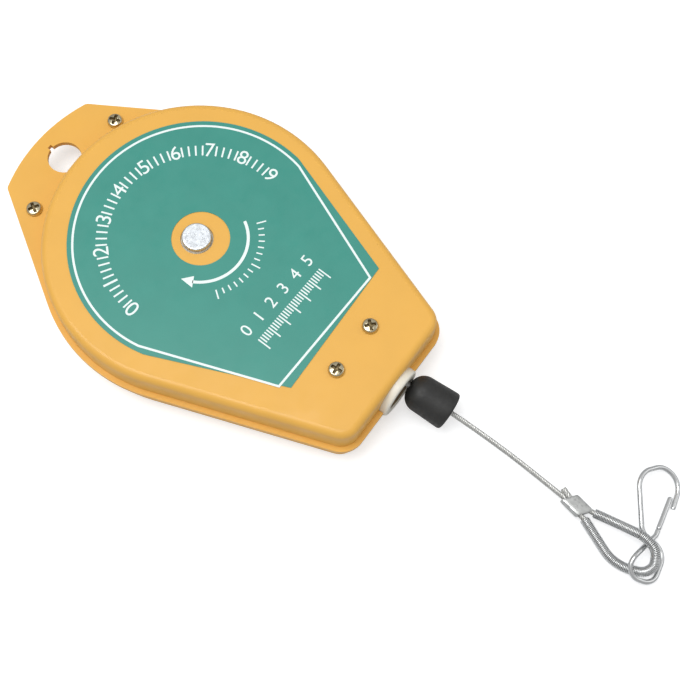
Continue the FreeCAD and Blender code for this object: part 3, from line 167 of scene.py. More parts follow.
def add_piece(name, shape, finish, body, stands_for=(), crease=38.0):
    """Turn a shape in millimetres into a piece in metres that rides on a CAD body."""
    bmesh.ops.scale(shape, vec=(MM, MM, MM), verts=shape.verts)
    bmesh.ops.remove_doubles(shape, verts=shape.verts, dist=1e-7)
    bmesh.ops.recalc_face_normals(shape, faces=shape.faces)
    mesh = bpy.data.meshes.new(name)
    shape.to_mesh(mesh)
    shape.free()
    mesh.shade_smooth()
    mesh.set_sharp_from_angle(angle=math.radians(crease))
    mesh.materials.append(finish)
    piece = bpy.data.objects.new(name, mesh)
    bpy.context.scene.collection.objects.link(piece)
    if body is not None:
        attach(piece, body)
    if stands_for:
        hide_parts(*stands_for)
    return piece


def only(kind, items):
    """The items of one kind, such as the vertices of what an operator made."""
    return [item for item in items if isinstance(item, kind)]


def spin_profile(shape, profile, steps, centre=(0.0, 0.0, 0.0), closed=True):
    """Spin (radius, height) points round an upright line and return the new vertices."""
    before = len(shape.verts)
    x, y, z = centre
    line = [shape.verts.new((x + radius, y, z + height)) for radius, height in profile]
    pairs = list(zip(line, line[1:]))
    if closed:
        pairs.append((line[-1], line[0]))
    edges = [shape.edges.new(pair) for pair in pairs]
    bmesh.ops.spin(shape, geom=line + edges, cent=centre, axis=(0.0, 0.0, 1.0),
                   dvec=(0.0, 0.0, 0.0), angle=2 * math.pi, steps=steps, use_merge=True)
    shape.verts.ensure_lookup_table()
    return shape.verts[before:]


def fill_holes(shape):
    """Close every open rim with a flat face."""
    rims = [edge for edge in shape.edges if edge.is_boundary]
    bmesh.ops.holes_fill(shape, edges=rims, sides=0)


def turned_piece(profile, place, steps=96):
    """A closed profile of (radius, height) spun round Z and put in its place."""
    shape = bmesh.new()
    spin_profile(shape, profile, steps)
    bmesh.ops.transform(shape, matrix=place, verts=shape.verts)
    return shape


def bar(samples, radius, sides=20, taper=0.12):
    """A bent round wire along samples. taper makes its two ends thinner by that much."""
    sizes = [radius] * len(samples)
    sizes[0] = sizes[-1] = radius - taper
    places = [place @ Matrix.Diagonal((size, size, 1.0, 1.0))
              for place, size in zip(carried_places(samples), sizes)]
    shape = bmesh.new()
    # create_circle starts on +Y, so a quarter turn back puts its first point on +X
    start = places[0] @ Matrix.Rotation(-math.pi / 2, 4, "Z")
    bmesh.ops.create_circle(shape, segments=sides, radius=1.0, matrix=start)
    rim = shape.edges[:]
    for last, place in zip(places, places[1:]):
        grown = bmesh.ops.extrude_edge_only(shape, edges=rim)["geom"]
        rim = [edge for edge in only(bmesh.types.BMEdge, grown) if edge.is_boundary]
        bmesh.ops.transform(shape, matrix=place @ last.inverted(),
                            verts=only(bmesh.types.BMVert, grown))
    fill_holes(shape)
    return shape


def add_strand(shape, samples, radius, sides):
    """A fine round strand along samples. It has too many rings to extrude one by one."""
    turns = [2 * math.pi * step / sides for step in range(sides)]
    rings = [[shape.verts.new(place @ on_circle(radius, turn)) for turn in turns]
             for place in carried_places(samples)]
    for ring, beyond in zip(rings, rings[1:]):
        for here in range(sides):
            after = (here + 1) % sides
            shape.faces.new((ring[here], ring[after], beyond[after], beyond[here]))
    for ring in (rings[0], rings[-1]):
        shape.faces.new(ring)


def strand_lines(samples, offset, lay_length, count):
    """Centre lines of strands laid round a path."""
    lines = [[] for _ in range(count)]
    travelled = 0.0
    for index, place in enumerate(carried_places(samples)):
        if index:
            travelled += (samples[index] - samples[index - 1]).length
        for strand in range(count):
            turn = 2 * math.pi * (strand / count + travelled / lay_length)
            lines[strand].append(place @ on_circle(offset, turn))
    return lines


def wire_rope(samples, diameter, lay_length=8.5, sides=9):
    """Six strands round a core, as separate closed bars."""
    strand = diameter / 6.0 * 1.03
    shape = bmesh.new()
    add_strand(shape, samples, strand * 1.05, sides)
    for line in strand_lines(samples, diameter / 2 - strand, lay_length, 6):
        add_strand(shape, line, strand, sides)
    return shape


def coil_line(samples, radius, pitch, gap, around=20):
    """A helix along a path. gap is (place, width) of one parted pair of coils."""
    lengths = [0.0]
    for before, after in zip(samples, samples[1:]):
        lengths.append(lengths[-1] + (after - before).length)
    places = carried_places(samples)
    total = lengths[-1]
    gap_place, gap_width = gap
    line = []
    cursor = 0
    for number in range(int((total - gap_width) / pitch * around) + 1):
        done = number / around * pitch
        parted = min(max((done - gap_place) / pitch, 0.0), 1.0)
        reached = min(done + gap_width * parted, total - 1e-6)
        while cursor < len(lengths) - 2 and lengths[cursor + 1] < reached:
            cursor += 1
        span = lengths[cursor + 1] - lengths[cursor]
        mix = (reached - lengths[cursor]) / span if span else 0.0
        here = places[cursor].lerp(places[cursor + 1], mix)
        line.append(here @ on_circle(radius, 2 * math.pi * number / around))
    return line


def arc_points(centre, radius, start, end, count):
    """Points (x, y) of an arc, angles in degrees."""
    points = []
    for index in range(count + 1):
        turn = math.radians(start + (end - start) * index / count)
        points.append((centre[0] + radius * math.cos(turn),
                       centre[1] + radius * math.sin(turn)))
    return points


# ---- materials ---------------------------------------------------------------------


def srgb(red, green, blue):
    """A 0-255 display colour as linear values."""
    return tuple(((part / 255 + 0.055) / 1.055) ** 2.4 for part in (red, green, blue))


def shaded(colour, factor):
    """A colour made darker or lighter, with alpha."""
    return (*[min(1.0, part * factor) for part in colour], 1.0)


def two_stop_ramp(tree, value, low, high):
    """A colour ramp with two (position, colour) stops, driven by value."""
    ramp = tree.nodes.new("ShaderNodeValToRGB")
    for stop, (position, colour) in zip(ramp.color_ramp.elements, (low, high)):
        stop.position = position
        stop.color = colour
    tree.links.new(value, ramp.inputs["Fac"])
    return ramp.outputs["Color"]


def noise(tree, where, size, detail=4.0):
    """The strength of a noise whose grain is finer as size grows."""
    texture = tree.nodes.new("ShaderNodeTexNoise")
    texture.inputs["Scale"].default_value = size
    texture.inputs["Detail"].default_value = detail
    tree.links.new(where, texture.inputs["Vector"])
    return texture.outputs["Fac"]


def gritty(tree, where, tone, colour, speck):
    """Fine dark specks over a tone."""
    grit = two_stop_ramp(tree, noise(tree, where, 2600.0, 2.0),
                         (0.66, (0.0, 0.0, 0.0, 1.0)), (0.74, (speck, speck, speck, 1.0)))
    mix = tree.nodes.new("ShaderNodeMix")
    mix.data_type = "RGBA"
    mix.inputs["B"].default_value = shaded(colour, 0.4)
    tree.links.new(grit, mix.inputs["Factor"])
    tree.links.new(tone, mix.inputs["A"])
    return mix.outputs["Result"]


def turning_marks(tree, where, centre):
    """Fine rings round an upright line through centre, as a lathe leaves them."""
    spot = tree.nodes.new("ShaderNodeMapping")
    spot.inputs["Location"].default_value = -centre
    tree.links.new(where, spot.inputs["Vector"])
    marks = tree.nodes.new("ShaderNodeTexWave")
    marks.wave_type = "RINGS"
    marks.rings_direction = "Z"
    marks.inputs["Scale"].default_value = 9000.0
    marks.inputs["Distortion"].default_value = 1.5
    marks.inputs["Detail Scale"].default_value = 400.0
    tree.links.new(spot.outputs["Vector"], marks.inputs["Vector"])
    return marks.outputs["Fac"]


def material(name, colour, rough, metal=0.0, spread=0.06, grain=120.0, bump=0.05,
             bump_grain=900.0, rough_spread=0.08, coat=0.0, specular=0.5, speck=0.0,
             turned_round=None):
    """A procedural finish: patchy tone, uneven gloss and a fine surface relief."""
    made = bpy.data.materials.new(name)
    made.use_nodes = True
    tree = made.node_tree
    shader = tree.nodes["Principled BSDF"]
    shader.inputs["Metallic"].default_value = metal
    shader.inputs["Coat Weight"].default_value = coat
    shader.inputs["Specular IOR Level"].default_value = specular
    where = tree.nodes.new("ShaderNodeTexCoord").outputs["Object"]

    tone = two_stop_ramp(tree, noise(tree, where, grain), (0.3, shaded(colour, 1 - spread)),
                         (0.7, shaded(colour, 1 + spread)))
    if speck:
        tone = gritty(tree, where, tone, colour, speck)
    tree.links.new(tone, shader.inputs["Base Color"])

    gloss = tree.nodes.new("ShaderNodeMapRange")
    gloss.inputs["From Min"].default_value = 0.3
    gloss.inputs["From Max"].default_value = 0.7
    gloss.inputs["To Min"].default_value = max(0.02, rough - rough_spread)
    gloss.inputs["To Max"].default_value = min(1.0, rough + rough_spread)
    tree.links.new(noise(tree, where, grain * 2.7), gloss.inputs["Value"])
    tree.links.new(gloss.outputs["Result"], shader.inputs["Roughness"])

    relief = tree.nodes.new("ShaderNodeBump")
    relief.inputs["Strength"].default_value = bump
    relief.inputs["Distance"].default_value = 0.00012
    if turned_round is None:
        height = noise(tree, where, bump_grain, 5.0)
    else:
        height = turning_marks(tree, where, turned_round)
    tree.links.new(height, relief.inputs["Height"])
    tree.links.new(relief.outputs["Normal"], shader.inputs["Normal"])
    return made


yellow = material("yellow_paint", srgb(232, 177, 80), 0.42, spread=0.02, grain=60.0,
                  bump=0.12, bump_grain=650.0, coat=0.1, specular=0.4)
green = material("printed_green", srgb(58, 145, 131), 0.38, spread=0.03, grain=70.0,
                 bump=0.06, bump_grain=1200.0)
white = material("print_white", srgb(236, 246, 244), 0.45, spread=0.02, grain=300.0,
                 bump=0.05, bump_grain=1500.0)
zinc = material("zinc_plate", (0.60, 0.53, 0.36), 0.24, metal=1.0, spread=0.16, grain=500.0,
                bump=0.08, bump_grain=2500.0)
recess_shade = material("recess_shade", (0.20, 0.15, 0.07), 0.5, metal=0.6, spread=0.25,
                        grain=900.0, bump=0.1, bump_grain=2500.0)
stud_steel = material("stud_steel", (0.80, 0.84, 0.88), 0.30, metal=1.0, spread=0.05,
                      grain=300.0, turned_round=Vector((0.0, SHAFT_Y, 0.0)) * MM)
wire = material("wire_steel", (0.70, 0.71, 0.71), 0.30, metal=1.0, spread=0.06,
                grain=160.0, bump=0.03, bump_grain=1500.0, rough_spread=0.04)
rope_steel = material("rope_steel", (0.60, 0.60, 0.58), 0.36, metal=0.85, spread=0.10,
                      grain=500.0, bump=0.12, bump_grain=3200.0)
crimp = material("crimp_metal", (0.56, 0.57, 0.56), 0.34, metal=1.0, spread=0.10,
                 grain=420.0, bump=0.22, bump_grain=1400.0, speck=0.2)
rubber = material("black_rubber", srgb(38, 38, 37), 0.55, spread=0.2, grain=240.0,
                  bump=0.35, bump_grain=1700.0, rough_spread=0.12)
cream = material("cream_plastic", srgb(232, 228, 214), 0.38, spread=0.03, grain=150.0,
                 bump=0.08, bump_grain=1300.0)
# dark tan for the bush's throat: painted shade and painted reflection of the yellow case, with
# some oil
throat_shade = material("oil_and_painted_shade_throat", srgb(138, 116, 84), 0.5, spread=0.12, grain=240.0,
                        bump=0.12, bump_grain=1300.0)
nylon = material("bearing_nylon", srgb(222, 216, 198), 0.5, spread=0.04, grain=200.0,
                 bump=0.15, bump_grain=1200.0)
dark_steel = material("dark_steel", (0.22, 0.22, 0.23), 0.42, metal=1.0, spread=0.15,
                      grain=350.0, bump=0.2, bump_grain=1800.0)
blue_steel = material("spring_steel", (0.30, 0.32, 0.36), 0.3, metal=1.0, spread=0.12,
                      grain=250.0, bump=0.1, bump_grain=1600.0)
alloy = material("cast_alloy", (0.58, 0.59, 0.60), 0.5, metal=1.0, spread=0.1, grain=200.0,
                 bump=0.5, bump_grain=800.0)

CAD_FINISH = {
    "front_shell": yellow, "rear_shell": yellow, "label_plate": green, "tab_nuts": zinc,
    "standoff_pillars": zinc, "arbor_shaft": stud_steel, "ratchet_wheel": dark_steel,
    "retaining_clip": dark_steel, "pawl_leaf": blue_steel, "pawl_rivets": zinc,
    "rear_thrust_washer": nylon, "drum_bush_rear": nylon, "drum_bush_front": nylon,
    "front_spacer": nylon, "rope_drum": alloy, "drum_cover": alloy,
    "drum_cover_screws": zinc, "mainspring": blue_steel, "rope_on_drum": rope_steel,
    "rope_anchor": crimp, "rope_inner_run": rope_steel,
}
for node_name, finish in CAD_FINISH.items():
    NODES[node_name].data.materials.clear()
    NODES[node_name].data.materials.append(finish)

# ---- rope and eye --------------------------------------------------------------------

ROPE_ROUTE = [
    (5.45, -95.85, 15.0),
    (5.2, -101.2, 14.7),
    (6.3, -110.6, 12.95),
    (7.3, -122.6, 10.95),
    (7.95, -137.6, 9.0),
    (8.15, -152.6, 7.0),
    (7.8, -166.0, 5.3),
    (7.2, -178.35, 4.35),
]
LOOP_ROUTE = [
    (9.1, -191.9, 4.7),
    (10.45, -202.3, 7.2),
    (11.55, -213.0, 10.1),
    (9.85, -220.0, 9.95),
    (4.5, -223.45, 5.6),
    (0.85, -221.6, 2.55),
    (-2.2, -214.25, 2.5),
    (-2.4, -206.95, 2.5),
    (1.35, -197.8, 3.2),
    (4.6, -189.9, 4.2),
]
TAIL_ROUTE = [(8.1, -181.6, 4.6), (8.8, -178.9, 4.7), (10.0, -175.9, 4.9)]
LOOP_ENDS_IN_FERRULE = ((8.6, -188.6, 4.45), (4.9, -187.4, 4.4))
ROPE_DIAMETER = 2.3
TAIL_DIAMETER = 2.7
GUARD_DIAMETER = 4.2
GUARD_WIRE = 0.62
GUARD_PITCH = 0.66
GUARD_GAP = (19.6, 0.5)

rope_line = bent_path(ROPE_ROUTE, step=0.5)
rope = add_piece("wire_rope", wire_rope(rope_line, ROPE_DIAMETER), rope_steel, None,
                 ("rope_outer",), crease=60.0)
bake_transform(rope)

eye_core = bent_path([LOOP_ENDS_IN_FERRULE[0]] + LOOP_ROUTE + [LOOP_ENDS_IN_FERRULE[1]],
                     step=0.3)
eye_rope = add_piece("eye_rope", wire_rope(eye_core, ROPE_DIAMETER, sides=7), rope_steel,
                     "rope_end", ("rope_loop",), crease=60.0)
guard_shape = bmesh.new()
guard_line = coil_line(bent_path(LOOP_ROUTE, step=0.3), (GUARD_DIAMETER - GUARD_WIRE) / 2,
                       GUARD_PITCH, GUARD_GAP)
add_strand(guard_shape, guard_line, GUARD_WIRE / 2, 7)
guard = add_piece("guard_coils", guard_shape, wire, "rope_end",
                  ("guard_spring",), crease=70.0)

# ---- stopper ---------------------------------------------------------------------------

STOPPER_TIP_Y = -99.5
STOPPER_BORE = 1.55
STOPPER_DOME = 6.55


def stopper_profile():
    """Bore, blunt dome towards the case, slightly tapered side and a rounded far end."""
    points = [(STOPPER_BORE, 20.0), (STOPPER_BORE, 0.3)]
    for angle in range(2, 91, 4):
        turn = math.radians(angle)
        points.append((STOPPER_BORE + STOPPER_DOME * math.sin(turn),
                       STOPPER_DOME - STOPPER_DOME * math.cos(turn)))
    points += [(8.2, 10.5), (8.42, 15.5), (8.52, 18.9), (8.45, 19.5), (8.2, 20.0),
               (7.7, 20.25), (6.9, 20.3), (2.2, 20.3), (1.8, 20.2)]
    return points


def stopper_place():
    """On the rope, with the dome's tip just clear of the guide bush."""
    start = Vector(ROPE_ROUTE[1])
    axis = (Vector(ROPE_ROUTE[3]) - start).normalized()
    tip = start + axis * ((STOPPER_TIP_Y - start.y) / axis.y)
    tilt = Vector((0.0, 0.0, 1.0)).rotation_difference(axis).to_matrix().to_4x4()
    return Matrix.Translation(tip) @ tilt


stopper = add_piece("rubber_stopper", turned_piece(stopper_profile(), stopper_place()),
                    rubber, "rope_end", ("stopper",))

# ---- ferrule and the rope's cut tail -----------------------------------------------------

FERRULE_MIDDLE = Vector((7.3, -184.35, 4.45))
FERRULE_RUN = Vector((0.184, 0.983, 0.0)).normalized()
FERRULE_LENGTH = 9.1
FERRULE_HALF_WIDTH = 3.47
FERRULE_HALF_HEIGHT = 2.15
FERRULE_SLANT = math.tan(math.radians(25.0))
FERRULE_ROWS = 22
FERRULE_SIDES = 64
# the power that squares its section: 1 is round, and less is squarer
FERRULE_POWER = 0.34
DENT_DEPTH = 0.05
DENT_SPACING = 4.2
SEAM_ACROSS = -0.4
SEAM_WIDTH = 0.34
SEAM_DEPTH = 0.55


def pressed_square(part):
    """Push a point of the unit circle out towards a square with round corners."""
    return math.copysign(abs(part) ** FERRULE_POWER, part)


def ferrule_shape():
    """A strip folded round the rope and its tail, pressed square, with slanted ends."""
    shape = bmesh.new()
    half_step = math.pi / FERRULE_SIDES
    line = [shape.verts.new((math.cos(half_step), math.sin(half_step), row))
            for row in range(FERRULE_ROWS + 1)]
    edges = [shape.edges.new(pair) for pair in zip(line, line[1:])]
    bmesh.ops.spin(shape, geom=line + edges, cent=(0.0, 0.0, 0.0), axis=(0.0, 0.0, 1.0),
                   dvec=(0.0, 0.0, 0.0), angle=2 * math.pi, steps=FERRULE_SIDES,
                   use_merge=True)
    fill_holes(shape)
    side = Vector((FERRULE_RUN.y, -FERRULE_RUN.x, 0.0))
    for vert in shape.verts:
        row = round(vert.co.z)
        along = (row / FERRULE_ROWS - 0.5) * FERRULE_LENGTH
        rounding = (0.18, 0.04, 0.0)[min(row, FERRULE_ROWS - row, 2)]
        dents = DENT_DEPTH * math.cos(2 * math.pi * along / DENT_SPACING)
        across = pressed_square(vert.co.x) * (FERRULE_HALF_WIDTH - rounding)
        height = pressed_square(vert.co.y) * (FERRULE_HALF_HEIGHT - rounding - dents)
        if vert.co.y < 0:
            height += SEAM_DEPTH * math.exp(-((across - SEAM_ACROSS) / SEAM_WIDTH) ** 2)
        vert.co = (FERRULE_MIDDLE + FERRULE_RUN * (along - across * FERRULE_SLANT)
                   + side * across + Vector((0.0, 0.0, height)))
    return shape


ferrule = add_piece("crimped_ferrule", ferrule_shape(), crimp, "rope_end",
                    ("ferrule",), crease=50.0)
tail_line = bent_path(TAIL_ROUTE, step=0.3)
tail = add_piece("rope_tail", wire_rope(tail_line, TAIL_DIAMETER, lay_length=12.0),
                 rope_steel, "rope_end", crease=60.0)

# ---- wire hook -----------------------------------------------------------------------

HOOK_CORNERS = [
    (24.95, -8.82, -0.06),
    (37.56, -11.42, 0.16),
    (41.68, -1.43, -0.11),
    (35.64, 10.42, 0.0),
    (11.65, 4.06, -1.45),
    (6.48, -8.21, -1.01),
    (-8.6, -2.75, 0.55),
    (-7.25, 10.35, -1.33),
    (0.49, 8.67, 1.77),
    (11.78, -1.3, 0.81),
    (14.3, -2.08, 0.74),
]
HOOK_BENDS = [7.9, 7.9, 7.9, 6.0, 6.3, 6.3, 5.8, 4.8, 2.6]
HOOK_RADIUS = 1.05
HOOK_PLACE = (Matrix.Translation((5.2, -221.0, 4.2))
              @ Matrix.Rotation(math.radians(24.8), 4, "Z")
              @ Matrix.Rotation(math.radians(-1.3), 4, "Y")
              @ Matrix.Rotation(math.radians(22.0), 4, "X"))
GATE_TIP = Vector((29.2, -6.7, 0.3))
GATE_ROOT_GAP = 0.35

hook_line = [HOOK_PLACE @ point for point in bent_path(HOOK_CORNERS, HOOK_BENDS, 0.35)]
hook = add_piece("hook_wire", bar(hook_line, HOOK_RADIUS), wire, "hook",
                 ("clip_hook",), crease=50.0)
gate_root = Vector(HOOK_CORNERS[-1])
gate_run = (GATE_TIP - gate_root).normalized()
gate_line = [HOOK_PLACE @ point for point in
             bent_path([gate_root + gate_run * GATE_ROOT_GAP, GATE_TIP], step=0.35)]
gate = add_piece("gate_wire", bar(gate_line, HOOK_RADIUS), wire, "gate",
                 ("clip_gate",), crease=50.0)

# ---- guide bush ------------------------------------------------------------------------

BUSH_INNER = 3.15
BUSH_OUTER = -3.3
BUSH_SHOULDER = 1.65
COLLAR_RADIUS = 12.6
BARREL_RADIUS = 11.35
BARREL_ROUND = 1.2
THROAT_RADIUS = 6.75
THROAT_FLARE = 1.75
SHADED_RADIUS = 8.0
SHADED_DEPTH = 2.7
BUSH_Y = node_box("guide_bush")[0].y - BUSH_OUTER


def bush_profile():
    """Collar inside the case, barrel through its wall and a softly flared throat."""
    flare = THROAT_RADIUS + THROAT_FLARE
    points = [(COLLAR_RADIUS, BUSH_INNER), (COLLAR_RADIUS, BUSH_SHOULDER),
              (BARREL_RADIUS, BUSH_SHOULDER)]
    points += arc_points((BARREL_RADIUS - BARREL_ROUND, BUSH_OUTER + BARREL_ROUND),
                         BARREL_ROUND, 0, -90, 6)
    points += arc_points((flare, BUSH_OUTER + THROAT_FLARE), THROAT_FLARE, -90, -180, 6)
    points += arc_points((flare, BUSH_INNER - THROAT_FLARE), THROAT_FLARE, 180, 90, 6)
    return points


bush_place = Matrix.Translation((0.0, BUSH_Y, MID)) @ Matrix.Rotation(-math.pi / 2, 4, "X")
ring = add_piece("guide_ring", turned_piece(bush_profile(), bush_place), cream, "case",
                 ("guide_bush",))
# the throat's inner faces get the dark tan: painted shade and painted reflection of the case,
# with some oil
ring.data.materials.append(throat_shade)
for face in ring.data.polygons:
    spot = face.center / MM
    if math.hypot(spot.x, spot.z - MID) < SHADED_RADIUS and spot.y > BUSH_Y - SHADED_DEPTH:
        face.material_index = 1

# ---- screws ----------------------------------------------------------------------------

HEAD_RADIUS = 3.5
HEAD_HEIGHT = 2.4
SHANK_RADIUS = 2.0
SHANK_END_GAP = 0.1
RIM_ROUND = 0.7
ARM_HALF_WIDTH = 0.66
ARM_REACH = 2.45
ARM_WALL_RUN = 0.18
ARM_END_RUN = 0.4
RECESS_DEPTH = 1.75
# share of the recess's depth that is lost for each millimetre from the middle
RECESS_RISE = 0.25 / 2.4


def crown(reach):
    """Height of a pan head's top at a distance from its middle."""
    rim = max(0.0, reach - (HEAD_RADIUS - RIM_ROUND)) / RIM_ROUND
    return HEAD_HEIGHT - 0.75 * (reach / HEAD_RADIUS) ** 2 - 0.95 * rim ** 2.4


def recess(across, along):
    """Depth of the pressed cross at a point, with its arms along the two directions."""
    near = min(abs(across), abs(along))
    far = max(abs(across), abs(along))
    wall = min(max((ARM_HALF_WIDTH - near) / ARM_WALL_RUN, 0.0), 1.0)
    end = min(max((ARM_REACH - far) / ARM_END_RUN, 0.0), 1.0)
    return RECESS_DEPTH * (1 - RECESS_RISE * far) * wall * end


def cross_screw(shape, centre, twist, shank):
    """A pan head with a pressed cross, seated at centre, on its plain shank."""
    reaches = [0.04] + [0.18 * step for step in range(1, 17)]
    reaches += [3.05, 3.2, 3.33, 3.43, HEAD_RADIUS]
    profile = [(reach, crown(reach)) for reach in reaches]
    profile += [(HEAD_RADIUS, 0.25), (HEAD_RADIUS - 0.2, 0.0), (SHANK_RADIUS, 0.0),
                (SHANK_RADIUS, -shank), (SHANK_RADIUS - 0.4, -shank)]
    arms = Matrix.Rotation(-math.radians(twist), 2)
    for vert in spin_profile(shape, profile, 120, centre, closed=False):
        height = vert.co.z - centre.z
        if height > 0.3:
            across, along = arms @ (vert.co - centre).xy
            vert.co.z = centre.z + max(0.3, height - recess(across, along))
    fill_holes(shape)


def shade_recess(piece, centres):
    """Darken the walls and floor of the crosses."""
    piece.data.materials.append(recess_shade)
    for face in piece.data.polygons:
        spots = [face.center / MM - centre for centre in centres]
        spot = min(spots, key=lambda spot: spot.xy.length)
        reach = spot.xy.length
        if reach < ARM_REACH + 0.05 and 0.1 < spot.z < crown(reach) - 0.45:
            face.material_index = 1


def screw_pair(name, node, twists):
    """Two screws in the places of a CAD pair, right one first."""
    low, high = node_box(node)
    reach = high.x - HEAD_RADIUS
    seat = high.z - HEAD_HEIGHT
    centres = [Vector((x, (low.y + high.y) / 2, seat)) for x in (reach, -reach)]
    shape = bmesh.new()
    for centre, twist in zip(centres, twists):
        cross_screw(shape, centre, twist, seat - low.z - SHANK_END_GAP)
    piece = add_piece(name, shape, zinc, "case", (node,), crease=45.0)
    shade_recess(piece, centres)


screw_pair("tab_screw_pair", "tab_screws", (20.0, 62.0))
screw_pair("lower_screw_pair", "lower_screws", (48.0, 5.0))

# ---- print on the label ------------------------------------------------------------------

PRINT_TOP = node_box("label_plate")[1].z + 0.025
PRINT_DEPTH = 0.035
LABEL_PLACE = (Matrix.Translation((1.05, SHAFT_Y - 1.25, PRINT_TOP - PRINT_DEPTH))
               @ Matrix.Rotation(math.radians(-1.7), 4, "Z"))
LABEL_RADIUS = 56.0
LABEL_FOOT = -69.1
LABEL_HALF_FOOT = 32.0
LABEL_LEAN = math.radians(21.66)
BORDER_INSETS = (1.9, 2.85)
ARROW_RADIUS = 20.0
ARROW_HALF_WIDTH = 0.65
ARROW_START = -28.0
ARROW_END = -150.0
ARROW_TIP = -164.0
ARROW_HEAD = -149.0
ARROW_HEAD_HALF_WIDTH = 2.6
DIAL_START = 178.0
DIAL_END = -6.0
DIAL_MARKS = 9
DIAL_SPLITS = 5
DIAL_RADII = (39.2, 44.0)
DIAL_DIGIT_RADIUS = 41.6
DIAL_DIGIT = 9.4
DIAL_TICK = 0.75
FINE_TICKS = 15
FINE_START = -35.0
FINE_SWEEP = 90.0
FINE_RADIUS = 24.4
FINE_SHORT = 27.0
FINE_LONG = 28.6
FINE_TICK = 0.6
RULER_LEFT = -20.0
RULER_TOP = -47.5
RULER_MARKS = 5
RULER_SPACING = 8.0
RULER_TICKS = 30
RULER_SHORT = 3.6
RULER_LONG = 6.4
RULER_DIGIT = 7.6
RULER_DIGIT_Y = -41.5


def label_edge(inset, count=150):
    """The label's outline moved inwards by inset."""
    distance = (LABEL_HALF_FOOT * math.cos(LABEL_LEAN) - LABEL_FOOT * math.sin(LABEL_LEAN)
                - inset)
    radius = LABEL_RADIUS - inset
    foot = LABEL_FOOT + inset
    meet = math.degrees(math.acos(distance / radius) - LABEL_LEAN)
    corner_x = (distance + foot * math.sin(LABEL_LEAN)) / math.cos(LABEL_LEAN)
    points = arc_points((0.0, 0.0), radius, meet, 180.0 - meet, count)
    return points + [(-corner_x, foot), (corner_x, foot)]


def add_outline(shape, points):
    """The edges of a closed line on the label."""
    verts = [shape.verts.new((x, y, 0.0)) for x, y in points]
    return [shape.edges.new(pair) for pair in zip(verts, verts[1:] + verts[:1])]


def add_patch(shape, points):
    """A flat face on the label."""
    shape.faces.new([shape.verts.new((x, y, 0.0)) for x, y in points])


def add_border(shape):
    """The thin line that runs round inside the label's edge."""
    edges = []
    for inset in BORDER_INSETS:
        edges += add_outline(shape, label_edge(inset))
    bmesh.ops.bridge_loops(shape, edges=edges)


def add_arrow(shape):
    """An arc with a head at its left end, for the way the drum turns."""
    outer = ARROW_RADIUS + ARROW_HALF_WIDTH
    inner = ARROW_RADIUS - ARROW_HALF_WIDTH
    band = arc_points((0.0, 0.0), outer, ARROW_START, ARROW_END, 60)
    band += arc_points((0.0, 0.0), inner, ARROW_END, ARROW_START, 60)
    add_patch(shape, band)
    head = [on_circle(ARROW_RADIUS, math.radians(ARROW_TIP))]
    head += [on_circle(ARROW_RADIUS + side, math.radians(ARROW_HEAD))
             for side in (ARROW_HEAD_HALF_WIDTH, -ARROW_HEAD_HALF_WIDTH)]
    add_patch(shape, [point.xy for point in head])


def add_tick(shape, inner, outer, angle, width):
    """A short stroke that points away from the shaft."""
    turn = Matrix.Rotation(math.radians(angle), 2)
    corners = [(inner, -width / 2), (outer, -width / 2), (outer, width / 2),
               (inner, width / 2)]
    add_patch(shape, [turn @ Vector(corner) for corner in corners])


def add_digits(shape, words, height, x, y, turn=0.0):
    """Digits as closed plates, centred on a place of the label."""
    curve = bpy.data.curves.new("digits", "FONT")
    curve.body = words
    curve.size = height
    curve.align_x = "CENTER"
    curve.align_y = "CENTER"
    curve.extrude = PRINT_DEPTH / 2
    curve.resolution_u = 4
    holder = bpy.data.objects.new("digits", curve)
    bpy.context.scene.collection.objects.link(holder)
    depsgraph = bpy.context.evaluated_depsgraph_get()
    mesh = bpy.data.meshes.new_from_object(holder.evaluated_get(depsgraph))
    mesh.transform(Matrix.Translation((x, y, PRINT_DEPTH / 2))
                   @ Matrix.Rotation(math.radians(turn), 4, "Z"))
    shape.from_mesh(mesh)
    bpy.data.objects.remove(holder)
    bpy.data.curves.remove(curve)
    bpy.data.meshes.remove(mesh)


def add_dial(shape):
    """Ticks of the numbered dial round the top and the fine ticks inside it."""
    spacing = (DIAL_START - DIAL_END) / DIAL_MARKS
    for number in range(DIAL_MARKS):
        for part in range(1, DIAL_SPLITS):
            angle = DIAL_START - (number + part / DIAL_SPLITS) * spacing
            add_tick(shape, *DIAL_RADII, angle, DIAL_TICK)
    for part in range(FINE_TICKS):
        outer = FINE_LONG if part % 7 == 0 else FINE_SHORT
        angle = FINE_START - part * FINE_SWEEP / (FINE_TICKS - 1)
        add_tick(shape, FINE_RADIUS, outer, angle, FINE_TICK)


def add_ruler(shape):
    """A row of ticks below the shaft, longer at every fifth."""
    length = RULER_MARKS * RULER_SPACING
    for part in range(RULER_TICKS + 1):
        x = RULER_LEFT + part * length / RULER_TICKS
        foot = RULER_TOP - (RULER_LONG if part % 5 == 0 else RULER_SHORT)
        left = x - FINE_TICK / 2
        right = x + FINE_TICK / 2
        add_patch(shape, [(left, foot), (right, foot), (right, RULER_TOP), (left, RULER_TOP)])


